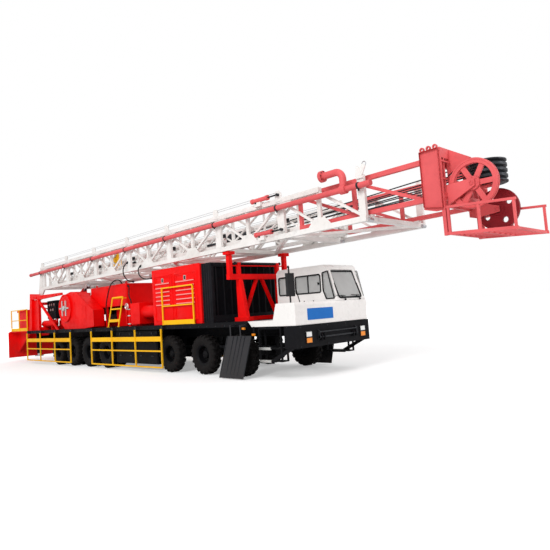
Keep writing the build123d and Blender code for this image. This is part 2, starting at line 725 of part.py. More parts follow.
# Yellow guards that stand on the deck and platform, and the leaning ladder
platform_rear = -11800
guard_rows = (
    # first post, last post, posts, inner y, foot z, height
    (platform_rear, -9800, 3, -deck_half_width, deck_top, 1000),
    (1440, 3040, 3, -deck_half_width, deck_top, 1150),
    (platform_rear, -9800, 3, deck_half_width - 40, deck_top, 1000),
    (1440, 3040, 3, deck_half_width - 40, deck_top, 1150),
)
ladder_posts = (-2270, -1200)
with BuildPart() as deck_guards:
    for first, last, posts, near, foot, height in guard_rows:
        far = near + 40
        for number in range(posts):
            x = first + number * (last - first) / (posts - 1)
            block(x, x + 40, near, far, foot, foot + height)
        block(first, last + 40, near, far, foot + height - 40, foot + height)
        block(first, last + 40, near, far, foot + height / 2 - 20, foot + height / 2 + 20)
        block(first, last + 40, near + 14, far - 14, foot, foot + 140)
    for hand in (-1, 1):
        foot_y, head_y = hand * 1400, hand * 1040
        for x in ladder_posts:
            bar((x - 3, foot_y + hand * 16, deck_top - 50), (x + 60, head_y, 2560), 50, 50)
        for rise in (0.17, 0.55, 0.95):
            y = foot_y + rise * (head_y - foot_y)
            z = deck_top + rise * (2560 - deck_top)
            block(ladder_posts[0], ladder_posts[1] + 60, y - 20, y + 20, z - 20, z + 20)
    block(ladder_posts[0] - 100, ladder_posts[1] + 100, -deck_half_width, deck_half_width,
          deck_top - 100, deck_top, Mode.SUBTRACT)
write(deck_guards, "deck_guards")

# Rear platform with its cross panel and the driller's console
with BuildPart() as rear_platform:
    block(-rear_reach, deck_rear, -deck_half_width, deck_half_width, deck_top - 40, deck_top)
    for near, far in both_sides(380, 500):
        block(-rear_reach + 60, rail_rear, near, far, rail_low + 40, deck_top - 40)
    block(-rear_reach, -rear_reach + 60, -1500, 1500, 190, deck_top - 40)
    for near, far in both_sides(1000, 1060):
        side_plate(((-rear_reach + 60, 420), (-rear_reach + 60, deck_top - 40),
                    (-10400, deck_top - 40)), near, far)
    block(-11500, -10560, -1180, -760, deck_top, 2440)
    side_plate(((-11500, 2440), (-10560, 2440), (-10560, 2380), (-11500, 2330)), -1260, -1180)
write(rear_platform, "rear_platform")

# Black aprons hung outside the first steered wheels, sloping outward to the foot
apron_x = steer_axles[0][1] + 370
apron_top_y, apron_foot_y = 1650, 1730
apron_top, apron_foot = 1100, 25
apron_width, apron_shift = 960, 330
apron_lean = degrees(atan2(apron_foot_y - apron_top_y, apron_top - apron_foot))
with BuildPart() as wheel_aprons:
    for hand in (-1, 1):
        slope = Plane(origin=(apron_x, hand * apron_top_y, apron_top), x_dir=(1, 0, 0),
                      z_dir=(0, hand * cos(radians(apron_lean)), sin(radians(apron_lean))))
        drop = hand * hypot(apron_foot_y - apron_top_y, apron_top - apron_foot)
        with BuildSketch(slope) as sheet:
            with BuildLine():
                Polyline((-apron_width / 2, 0), (apron_width / 2, 0),
                         (apron_width / 2 - apron_shift, drop),
                         (-apron_width / 2 - apron_shift, drop), close=True)
            make_face()
        extrude(sheet.sketch, amount=8)
        for x in (apron_x - 340, apron_x + 50):
            near, far = sorted((hand * deck_half_width, hand * (apron_top_y + 8)))
            block(x - 20, x + 20, near, far, deck_top - 110, deck_top - 70)
            near, far = sorted((hand * (apron_top_y - 8), hand * (apron_top_y + 8)))
            block(x - 20, x + 20, near, far, apron_top - 60, deck_top - 70)
write(wheel_aprons, "wheel_aprons")

# Tanks and boxes hung under the deck between the axle groups
with BuildPart() as side_tanks:
    for near, far in both_sides(700, 1330):
        block(-1560, 760, near, far, 560, 1260)
        for x in (-1400, -450, 500):
            block(x, x + 80, near + 60, far - 60, 1260, deck_top - deck_skin)
write(side_tanks, "side_tanks")

# Levelling jacks under the base frame: tubes on the deck, legs that slide down
jack_x, jack_offset = -9240, 1130
jack_leg_radius, jack_tube_radius = 75, 105
with BuildPart() as jack_tubes:
    for hand in (-1, 1):
        rod((jack_x, hand * jack_offset, 430), (jack_x, hand * jack_offset, rail_top),
            jack_tube_radius)
        block(jack_x - 130, jack_x + 130, hand * jack_offset - 130, hand * jack_offset + 130,
              rail_top - 40, deck_top - deck_skin)
        rod((jack_x, hand * jack_offset, 400), (jack_x, hand * jack_offset, 1240),
            jack_leg_radius + running_gap, Mode.SUBTRACT)
        near, far = sorted((hand * (rail_offset + 70), hand * (jack_offset - 90)))
        block(jack_x - 60, jack_x + 60, near, far, 1060, 1200)
write(jack_tubes, "jack_tubes")

for side, hand in side_names:
    with BuildPart() as jack_leg:
        rod((jack_x, hand * jack_offset, 340), (jack_x, hand * jack_offset, 1200), jack_leg_radius)
        rod((jack_x, hand * jack_offset, 300), (jack_x, hand * jack_offset, 340), 190)
    write(jack_leg, "jack_leg_" + side)

# Lower mast section: two side trusses, open at the top, with tall guide plates, and a
# floor of cross beams and braces between them
station_first = mast_rear + 270
station_last = mast_front - 60
bay_length = (station_last - station_first) / bay_count
stations = [station_first + number * bay_length for number in range(bay_count + 1)]
chord_y = mast_half_width - mast_chord / 2
last_top = stations[-2] + bay_length / 2
floor_top = mast_low + floor_height
beam_half = 60
beam_end = mast_half_width - mast_chord - rest_gap
shoe_stations = (1, bay_count - 1, bay_count)
with BuildPart() as mast_side:
    near, far = chord_y - mast_chord / 2, chord_y + mast_chord / 2
    block(mast_rear, mast_front, near, far, mast_low, mast_low + mast_chord)
    block(mast_rear, last_top + 50, near, far, mast_high - mast_chord, mast_high)
    block(mast_rear, mast_rear + 110, chord_y - 40, chord_y + 40, mast_low, mast_high)
    for x in stations:
        front = min(x + 120, mast_front)
        block(x - 110, front, chord_y - 40, chord_y + 40, mast_low, mast_high)
        plate = ((x - 110, mast_high - 80), (front, mast_high - 80),
                 (front - 30, mast_high + 40), (front - 90, mast_high + plate_rise),
                 (x - 80, mast_high + plate_rise), (x - 110, mast_high + 100))
        side_plate(plate, mast_half_width - 20, mast_half_width + 10)
    for number in range(bay_count):
        start, end = stations[number], stations[number + 1]
        half = (start + end) / 2
        block(half - 50, half + 50, chord_y - 35, chord_y + 35, mast_low + 60, mast_high - 60)
        low, high = mast_low + 110, mast_high - 110
        bar((start + 60, chord_y, high), (half, chord_y, low), 60, 60)
        rise, fall = (low, high) if number < bay_count - 1 else (high, low)
        bar((half, chord_y, rise), (end, chord_y, fall), 60, 60)
    side_plate(((mast_rear, mast_high - 200), (hinge_x - 110, hinge_z + 60),
                (hinge_x - 50, hinge_z - 120), (hinge_x + 50, hinge_z - 120),
                (hinge_x + 110, hinge_z - 60), (mast_rear + 420, mast_low + 20),
                (mast_rear, mast_low + 20)), mast_half_width - ear_thickness, mast_half_width)
    cross_pin(hinge_x, hinge_z, mast_half_width - ear_thickness - 5, mast_half_width + 5,
              hinge_pin / 2 + running_gap, Mode.SUBTRACT)

with BuildPart() as mast_floor:
    for x in stations + [lift_eye_x]:
        block(x - beam_half, x + beam_half, -beam_end, beam_end, mast_low, floor_top)
    for number in shoe_stations:
        for hand in (-1, 1):
            shoe_y = hand * (upper_half_width - upper_chord / 2)
            x = stations[number]
            block(x - beam_half, x + beam_half, shoe_y - 50, shoe_y + 50, floor_top,
                  upper_low - rest_gap)
    for number in range(bay_count):
        start = stations[number] + beam_half + rest_gap
        end = stations[number + 1] - beam_half - rest_gap
        if start < lift_eye_x < end:
            start = lift_eye_x + beam_half + rest_gap
        hand = 1 if number % 2 else -1
        near, far = hand * (beam_end - 140), -hand * (beam_end - 140)
        plan_plate(((start, near - 60), (end, far - 60), (end, far + 60), (start, near + 60)),
                   mast_low + 20, mast_low + 90)
    for hand in (-1, 1):
        for side in (-1, 1):
            y = hand * lift_offset + side * (lift_eye_half + 10 + lift_lug_thickness / 2)
            side_plate(((lift_eye_x - 150, mast_low - rest_gap),
                        (lift_eye_x - 80, lift_eye_z - 90), (lift_eye_x + 80, lift_eye_z - 90),
                        (lift_eye_x + 150, mast_low - rest_gap)),
                       y - lift_lug_thickness / 2, y + lift_lug_thickness / 2)
            cross_pin(lift_eye_x, lift_eye_z, y - 20, y + 20, lift_pin / 2, Mode.SUBTRACT)

with BuildPart() as mast_lower:
    add(mast_side.part)
    mirror(about=Plane.XZ)
    add(mast_floor.part)
write_tilted(mast_lower, "mast_lower")

# Upper mast section in white, nested in the lower one: two side trusses and their ties
upper_y = upper_half_width - upper_chord / 2
upper_pitch = (paint_break - upper_rear) / 12
tie_y = upper_half_width - upper_chord - rest_gap
with BuildPart() as mast_upper:
    for z in (upper_low, upper_high - upper_chord):
        block(upper_rear, paint_break, tie_y + rest_gap, upper_half_width, z, z + upper_chord)
    for number in range(0, 13, 2):
        x = min(max(upper_rear + number * upper_pitch, upper_rear + 35), paint_break - 35)
        block(x - 35, x + 35, upper_y - 35, upper_y + 35, upper_low + 50, upper_high - 50)
    for number in range(12):
        start = upper_rear + number * upper_pitch
        ends = (upper_low + 80, upper_high - 80) if number % 2 else (upper_high - 80, upper_low + 80)
        bar((start + 30, upper_y, ends[0]), (start + upper_pitch - 30, upper_y, ends[1]), 50, 50)
    mirror(about=Plane.XZ)
    for number in range(0, 13, 3):
        x = min(max(upper_rear + number * upper_pitch, upper_rear + 35), paint_break - 35)
        block(x - 35, x + 35, -tie_y, tie_y, upper_low + 10, upper_low + 90)
write_tilted(mast_upper, "mast_upper")

# Crown section in red: end trusses, crown box with lifting eyes, and the sheave brackets
fast_x, fast_y, fast_z = 11285, -760, 3577
fast_radius, fast_width = 480, 90
cluster_x, cluster_y = 11205, 130
cluster_low, cluster_high = 3690, 4140
cluster_radius, cluster_count = 370, 4
sand_x, sand_y, sand_z = 11235, 390, 3185
sand_radius, sand_width = 430, 70
box_wall = 45
arm_root = crown_front + rest_gap
with BuildPart() as crown_frame:
    for z in (upper_low, upper_high - upper_chord):
        block(paint_break, crown_rear - rest_gap, tie_y + rest_gap, upper_half_width,
              z, z + upper_chord)
    for x in (paint_break + 40, 8660):
        block(x - 40, x + 40, upper_y - 40, upper_y + 40, upper_low + 50, upper_high - 50)
    bar((paint_break + 60, upper_y, upper_high - 80), (8640, upper_y, upper_low + 80), 70, 70)
    bar((8680, upper_y, upper_high - 80), (crown_rear - 60, upper_y, upper_low + 80), 70, 70)
    side_plate(((crown_rear, upper_low - 150), (crown_rear, crown_high),
                (crown_front, crown_high), (crown_front, upper_low - 220),
                (crown_front - 200, upper_low - 220)),
               crown_half_width - box_wall, crown_half_width)
    for x in (crown_rear + 60, crown_rear + 200, crown_rear + 340):
        cross_pin(x, crown_high + 30, crown_half_width - box_wall, crown_half_width, 50)
        cross_pin(x, crown_high + 30, crown_half_width - box_wall - 5, crown_half_width + 5, 24,
                  Mode.SUBTRACT)
    mirror(about=Plane.XZ)
    for x in (paint_break + 40, 8660):
        block(x - 40, x + 40, -tie_y, tie_y, upper_low + 10, upper_low + 90)
    for z_from, z_to in ((upper_low - 20, upper_low + 130), (crown_high - 200, crown_high)):
        for x in (crown_rear, crown_front - 60):
            block(x, x + 60, -crown_half_width + 10, crown_half_width - 10, z_from, z_to)
    block(crown_rear, crown_front, -crown_half_width + 10, crown_half_width - 10,
          crown_high - 30, crown_high)
    for y in (basket_right + 30, basket_left - 30):
        block(crown_front - 70, crown_front, y - 35, y + 35, basket_low, upper_low + 40)
    for y in (fast_y, cluster_y, sand_y):
        block(crown_front - 60, crown_front, y - 130, y - 100, upper_low, crown_high - 30)
        block(crown_front - 60, crown_front, y + 100, y + 130, upper_low, crown_high - 30)
    arms = fast_width / 2 + 20
    for near, far in ((fast_y - arms - 40, fast_y - arms), (fast_y + arms, fast_y + arms + 40)):
        side_plate(((arm_root, fast_z - 330), (arm_root, fast_z + 60), (fast_x - 40, fast_z + 85),
                    (fast_x + 60, fast_z + 60), (fast_x + 60, fast_z - 60)), near, far)
    cross_pin(fast_x, fast_z, fast_y - arms - 50, fast_y + arms + 50, 45)
    side_plate(((arm_root, crown_high), (arm_root, crown_high - 480),
                (crown_front + 430, crown_high - 260)), fast_y + arms + 60, fast_y + arms + 80)
    for z in (cluster_low - 50, cluster_high + 20):
        block(arm_root, cluster_x + 90, cluster_y - 110, cluster_y + 110, z, z + 30)
    rod((cluster_x, cluster_y, cluster_low - 60), (cluster_x, cluster_y, cluster_high + 60), 50)
    arms = sand_width / 2 + 15
    for near, far in ((sand_y - arms - 35, sand_y - arms), (sand_y + arms, sand_y + arms + 35)):
        side_plate(((arm_root, sand_z - 110), (arm_root, sand_z + 230), (sand_x + 50, sand_z + 60),
                    (sand_x + 50, sand_z - 60)), near, far)
    cross_pin(sand_x, sand_z, sand_y - arms - 45, sand_y + arms + 45, 40)
write_tilted(crown_frame, "crown_frame")


# Spoked fast-line sheave with a grooved rim
spoke_count, spoke_width = 6, 96
rim_inner = fast_radius - 95
with BuildPart() as fast_sheave:
    with BuildSketch(Plane.XZ) as wheel_face:
        Circle(fast_radius - 30)
        Circle(rim_inner, mode=Mode.SUBTRACT)
        with PolarLocations(rim_inner / 2 + 30, spoke_count):
            Rectangle(rim_inner, spoke_width)
        Circle(120)
    extrude(wheel_face.sketch, amount=fast_width / 4, both=True)
    for near, far in ((-fast_width / 2, -12), (12, fast_width / 2)):
        with BuildSketch(Plane.XZ.offset(-far)) as flange:
            Circle(fast_radius)
            Circle(rim_inner, mode=Mode.SUBTRACT)
        extrude(flange.sketch, amount=far - near)
    cross_pin(0, 0, -fast_width / 2 - 14, fast_width / 2 + 14, 100)
    cross_pin(0, 0, -fast_width, fast_width, 45 + running_gap, Mode.SUBTRACT)
fast_x_placed, fast_z_placed = tilt_point(fast_x, fast_z)
placed_sheave = fast_sheave.part.moved(Location((fast_x_placed, fast_y, fast_z_placed)))
placed_sheave.label = "fast_sheave"
export_step(placed_sheave, "parts/fast_sheave.step")

# Crown cluster: grooved sheaves on one upright shaft, turning as one
sheave_pitch = (cluster_high - cluster_low) / cluster_count
groove_radius = cluster_radius - 45
with BuildPart() as crown_cluster:
    with BuildSketch(Plane.XZ) as section:
        with BuildLine():
            outline = [(50 + running_gap, cluster_low), (cluster_radius, cluster_low)]
            for number in range(cluster_count):
                base = cluster_low + number * sheave_pitch
                outline += [(cluster_radius, base + 24),
                            (groove_radius, base + sheave_pitch / 2),
                            (cluster_radius, base + sheave_pitch - 24)]
            outline += [(cluster_radius, cluster_high), (50 + running_gap, cluster_high)]
            Polyline(*outline, close=True)
        make_face()
    revolve(section.sketch, axis=Axis.Z)
placed_cluster = crown_cluster.part.moved(Location((cluster_x, cluster_y, 0)))
placed_cluster = placed_cluster.rotate(Axis((hinge_x, 0, hinge_z), (0, 1, 0)), -mast_tilt)
placed_cluster.label = "crown_cluster"
export_step(placed_cluster, "parts/crown_cluster.step")

# Travelling block, lying on a tie of the upper section
block_front, block_rear = 3900, 3050
block_low = upper_low + 90 + rest_gap
block_high = block_low + 480
with BuildPart() as travelling_block:
    side_plate(((block_rear, block_low + 110), (block_rear + 160, block_low),
                (block_front - 160, block_low), (block_front, block_low + 80),
                (block_front, block_high - 80), (block_front - 160, block_high),
                (block_rear + 160, block_high), (block_rear, block_high - 110)),
               cluster_y - 190, cluster_y + 190)
write_tilted(travelling_block, "travelling_block")

# Hoist lines, taut from the grooves of the cluster to the travelling block
line_radius = 14
line_reach = cluster_radius - line_radius
line_end = block_front + 0.9
with BuildPart() as hoist_lines:
    for hand in (-1, 1):
        for number in range(cluster_count):
            z = cluster_low + (number + 0.5) * sheave_pitch
            end_z = block_low + 120 + number * (block_high - block_low - 240) / 3
            rod((cluster_x, cluster_y + hand * line_reach, z),
                (line_end, cluster_y + hand * 120, end_z), line_radius)
write_tilted(hoist_lines, "hoist_lines")

# Sand-line sheave: a plate sheave with four round holes
with BuildPart() as sand_sheave:
    cross_pin(0, 0, -sand_width / 2, sand_width / 2, sand_radius)
    with BuildSketch(Plane.XZ.offset(-sand_width)) as holes:
        with PolarLocations(sand_radius * 0.62, 4, 30):
            Circle(60)
        Circle(40 + running_gap)
    extrude(holes.sketch, amount=2 * sand_width, mode=Mode.SUBTRACT)
sand_x_placed, sand_z_placed = tilt_point(sand_x, sand_z)
placed_sand = sand_sheave.part.moved(Location((sand_x_placed, sand_y, sand_z_placed)))
placed_sand.label = "sand_sheave"
export_step(placed_sand, "parts/sand_sheave.step")

# Crown basket: slatted floor with rails at its sides, drooping a little to the front
basket_rear_end, basket_front_end = crown_front + rest_gap, front_reach
with BuildPart() as crown_basket:
    for y in (basket_right + 30, basket_left - 30):
        for z, height in ((basket_low, 60), (basket_low + basket_rail_height - 45, 45)):
            side_plate(((basket_rear_end, z), (basket_front_end, z - basket_droop),
                        (basket_front_end, z - basket_droop + height),
                        (basket_rear_end, z + height)), y - 25, y + 25)
        for share in (0.03, 0.48, 0.97):
            x = basket_rear_end + share * (basket_front_end - basket_rear_end)
            drop = share * basket_droop
            block(x - 22, x + 22, y - 22, y + 22, basket_low + 20 - drop,
                  basket_low + basket_rail_height - drop)
    for share in (0.05, 0.5, 0.97):
        x = basket_rear_end + share * (basket_front_end - basket_rear_end)
        z = basket_low - share * basket_droop
        block(x - 25, x + 25, basket_right + 30, basket_left - 30, z, z + 50)
    slat_pitch = (basket_left - basket_right - 60) / 6
    for number in range(1, 6):
        y = basket_right + 30 + number * slat_pitch
        bar((basket_rear_end + 30, y, basket_low + 35),
            (basket_front_end - 20, y, basket_low + 35 - basket_droop), 70, 24)
write_tilted(crown_basket, "crown_basket")

# Standpipe on the mast's right side, with its gooseneck and flange
neck_z = pipe_z + 420
neck_radius = pipe_radius + 15
with BuildPart() as standpipe:
    rod((pipe_rear, pipe_y, pipe_z), (pipe_front, pipe_y, pipe_z), pipe_radius)
    rod((pipe_rear - 40, pipe_y, pipe_z), (pipe_rear + 60, pipe_y, pipe_z), pipe_radius + 8)
    for x in stations:
        block(x - 20, x + 20, pipe_y, -chord_y - 40 - rest_gap, pipe_z - 45, pipe_z + 45)
    rod((neck_x - 60, pipe_y, pipe_z), (neck_x + 90, pipe_y, pipe_z), pipe_radius + 35)
    with BuildLine() as neck_path:
        FilletPolyline((neck_x + 10, pipe_y, pipe_z), (neck_x + 20, pipe_y, neck_z),
                       (neck_x - 520, pipe_y, neck_z), radius=190)
    with BuildSketch(Plane(origin=neck_path.wire() @ 0, z_dir=neck_path.wire() % 0)) as bore:
        Circle(neck_radius)
    sweep(bore.sketch, path=neck_path.wire())
    rod((neck_x - 590, pipe_y, neck_z), (neck_x - 510, pipe_y, neck_z), 130)
write_tilted(standpipe, "standpipe")

# Lifting cylinders, lying under the mast: barrels on the base frame, rods toward the mast
lift_top_x, lift_top_z = tilt_point(lift_eye_x, lift_eye_z)
lift_run_x, lift_run_z = lift_top_x - lift_foot_x, lift_top_z - lift_foot_z
lift_length = hypot(lift_run_x, lift_run_z)
lift_barrel_end = lift_length - 320
lift_direction = Vector(lift_run_x / lift_length, 0, lift_run_z / lift_length)


def lift_point(distance, y):
    # The point on one cylinder's axis at a distance from its foot pin.
    return (lift_foot_x + distance * lift_direction.X, y,
            lift_foot_z + distance * lift_direction.Z)


with BuildPart() as lift_barrels:
    for hand in (-1, 1):
        y = hand * lift_offset
        cross_pin(lift_foot_x, lift_foot_z, y - 74, y + 74, 90)
        rod(lift_point(0, y), lift_point(lift_barrel_end, y), lift_barrel_radius - 36)
        rod(lift_point(130, y), lift_point(lift_barrel_end, y), lift_barrel_radius)
        rod(lift_point(200, y), lift_point(lift_barrel_end + 80, y), lift_rod_radius + running_gap,
            Mode.SUBTRACT)
        cross_pin(lift_foot_x, lift_foot_z, y - 90, y + 90, lift_pin / 2 + running_gap,
                  Mode.SUBTRACT)
write(lift_barrels, "lift_barrels")

with BuildPart() as lift_rods:
    for hand in (-1, 1):
        y = hand * lift_offset
        rod(lift_point(230, y), lift_point(lift_length, y), lift_rod_radius)
        cross_pin(lift_top_x, lift_top_z, y - lift_eye_half, y + lift_eye_half, lift_eye_radius)
        cross_pin(lift_top_x, lift_top_z, y - lift_eye_half - 5, y + lift_eye_half + 5,
                  lift_pin / 2, Mode.SUBTRACT)
write(lift_rods, "lift_rods")
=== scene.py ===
import json
from math import cos, pi, radians, sin

import bmesh
import bpy
from mathutils import Matrix, Vector

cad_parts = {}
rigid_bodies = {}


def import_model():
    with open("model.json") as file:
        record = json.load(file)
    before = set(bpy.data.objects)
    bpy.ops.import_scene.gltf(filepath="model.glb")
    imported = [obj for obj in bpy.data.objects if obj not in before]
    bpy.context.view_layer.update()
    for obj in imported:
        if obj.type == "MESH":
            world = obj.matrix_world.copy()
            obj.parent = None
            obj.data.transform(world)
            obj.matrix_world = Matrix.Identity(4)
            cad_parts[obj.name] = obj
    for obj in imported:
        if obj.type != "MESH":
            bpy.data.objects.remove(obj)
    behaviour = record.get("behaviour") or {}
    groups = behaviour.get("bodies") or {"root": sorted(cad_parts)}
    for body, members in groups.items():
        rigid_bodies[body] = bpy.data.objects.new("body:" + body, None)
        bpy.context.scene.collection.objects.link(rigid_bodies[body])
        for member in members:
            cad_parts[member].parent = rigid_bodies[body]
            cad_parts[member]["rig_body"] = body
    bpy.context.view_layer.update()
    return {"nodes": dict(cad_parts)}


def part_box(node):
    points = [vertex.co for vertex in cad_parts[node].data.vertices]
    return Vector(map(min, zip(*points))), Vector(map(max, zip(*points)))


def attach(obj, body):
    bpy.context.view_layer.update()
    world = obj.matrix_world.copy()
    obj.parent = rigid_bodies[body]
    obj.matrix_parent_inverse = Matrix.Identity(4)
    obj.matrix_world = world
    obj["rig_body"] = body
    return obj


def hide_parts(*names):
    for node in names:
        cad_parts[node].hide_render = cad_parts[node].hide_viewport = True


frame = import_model()
nodes = frame["nodes"]


# ---- Finishes ----

def wire(tree, node, inputs):
    """Fills a node's inputs, each with a socket to link or with a plain value."""
    for name, value in inputs.items():
        socket = node.inputs[name]
        if isinstance(value, bpy.types.NodeSocket):
            tree.links.new(value, socket)
        else:
            socket.default_value = (*value, 1) if socket.type == "RGBA" else value


def added(source, kind, inputs, output, **settings):
    """Adds a shader node to the tree that a socket is in. Returns one of its outputs."""
    tree = source.id_data
    node = tree.nodes.new("ShaderNode" + kind)
    for name, value in settings.items():
        setattr(node, name, value)
    wire(tree, node, inputs)
    return node.outputs[output]


def make_finish(name, maker, values=()):
    """A new material. Its maker gives the main shader's inputs, from object coordinates."""
    finish = bpy.data.materials.new(name)
    finish.use_nodes = True
    tree = finish.node_tree
    place = added(tree, "TexCoord", {}, "Object")
    wire(tree, tree.nodes["Principled BSDF"], maker(place, *values))
    return finish


def noise(place, scale, detail=4.0, roughness=0.55, stretch=None):
    """Noise in object coordinates, scale in cycles per metre. Returns its factor."""
    if stretch:
        place = added(place, "Mapping", {"Vector": place, "Scale": stretch}, "Vector")
    return added(place, "TexNoise", {"Vector": place, "Scale": scale, "Detail": detail,
                                     "Roughness": roughness}, "Fac")


def spread(value, from_low, from_high, to_low, to_high):
    """Maps a value from one range to another, clamped."""
    return added(value, "MapRange", {"Value": value, "From Min": from_low, "From Max": from_high,
                                     "To Min": to_low, "To Max": to_high}, "Result")


def worked(operation, first, second):
    """The product, or the larger, of a socket's value and another socket's or a number."""
    return added(first, "Math", {0: first, 1: second}, "Value", operation=operation)


def mixed(factor, first, second):
    """Mixes two colours, each a tuple or a socket, by a socket's factor."""
    return added(factor, "Mix", {"Factor": factor, 6: first, 7: second}, 2, data_type="RGBA")


def bump(height, strength, distance):
    """A normal that is bumped by a height."""
    return added(height, "Bump", {"Strength": strength, "Distance": distance, "Height": height},
                 "Normal")


def painted(place, colour, deep, rough=0.38, dirt=0.25, dust=(0.30, 0.26, 0.21), coat=0.03,
            gloss=0.18):
    """Sprayed steel: a slow change of tone, dirt in patches and dust low down."""
    slow = noise(place, 1.1, 5.0)
    tone = mixed(spread(slow, 0.32, 0.68, 0.0, 1.0), colour, deep)
    patches = noise(place, 6.0, 8.0, 0.65)
    runs = noise(place, 9.0, 5.0, 0.6, (1, 1, 0.12))
    grime = worked("MULTIPLY", spread(patches, 0.50, 0.76, 0.0, dirt),
                   spread(runs, 0.35, 0.6, 0.35, 1.0))
    height = added(place, "SeparateXYZ", {"Vector": place}, "Z")
    dusty = worked("MULTIPLY", spread(height, 0.1, 1.4, 0.5, 0.0),
                   spread(patches, 0.3, 0.7, 0.15, 0.8))
    tone = mixed(grime, tone, tuple(0.35 * c for c in deep))
    return {
        "Base Color": mixed(dusty, tone, dust),
        "Roughness": spread(patches, 0.3, 0.75, rough - 0.06, rough + 0.2),
        "Specular IOR Level": gloss, "Coat Weight": coat, "Coat Roughness": 0.2,
        "Normal": bump(noise(place, 55.0, 3.0), 0.12, 0.004)}


def rubber(place, colour, dust, dusty=0.5):
    """Tyre and hose rubber: nearly black, dusty in patches, fine grained."""
    patches = noise(place, 7.0, 8.0, 0.65)
    return {
        "Base Color": mixed(spread(patches, 0.42, 0.75, 0.0, dusty), colour, dust),
        "Roughness": spread(patches, 0.3, 0.7, 0.62, 0.9), "Specular IOR Level": 0.14,
        "Normal": bump(noise(place, 90.0, 4.0), 0.35, 0.004)}


def bare_metal(place, colour, deep, rough):
    """Worn steel or iron with streaks."""
    streaks = noise(place, 14.0, 7.0, 0.6, (1, 1, 4))
    return {
        "Base Color": mixed(spread(streaks, 0.35, 0.7, 0.0, 1.0), colour, deep),
        "Roughness": spread(streaks, 0.3, 0.7, rough - 0.1, rough + 0.15),
        "Metallic": 0.85, "Normal": bump(noise(place, 70.0, 3.0), 0.15, 0.003)}


def clear_pane(place, colour, alpha):
    """Window glass with a faint film of dust. Its pale grey colour at part opacity is partly a
    painted reflection.
    """
    film = noise(place, 1.6, 2.0)
    return {
        "Base Color": mixed(spread(film, 0.35, 0.7, 0.0, 0.6), colour,
                            tuple(0.8 * c for c in colour)),
        "Roughness": spread(film, 0.3, 0.7, 0.03, 0.12),
        "Alpha": spread(film, 0.3, 0.75, alpha - 0.06, alpha + 0.12)}


def ribbed_lens(place, colour, glow):
    """A moulded lamp lens with fine upright ribs."""
    across = added(place, "Mapping", {"Vector": place, "Scale": (0, 1, 0)}, "Vector")
    ribs = added(place, "TexWave", {"Vector": across, "Scale": 14.0}, "Fac", bands_direction="Y")
    return {
        "Base Color": mixed(spread(ribs, 0.0, 1.0, 0.0, 0.5), colour,
                            tuple(0.55 * c for c in colour)),
        "Roughness": 0.12, "Emission Color": colour, "Emission Strength": glow,
        "Normal": bump(ribs, 0.4, 0.003)}


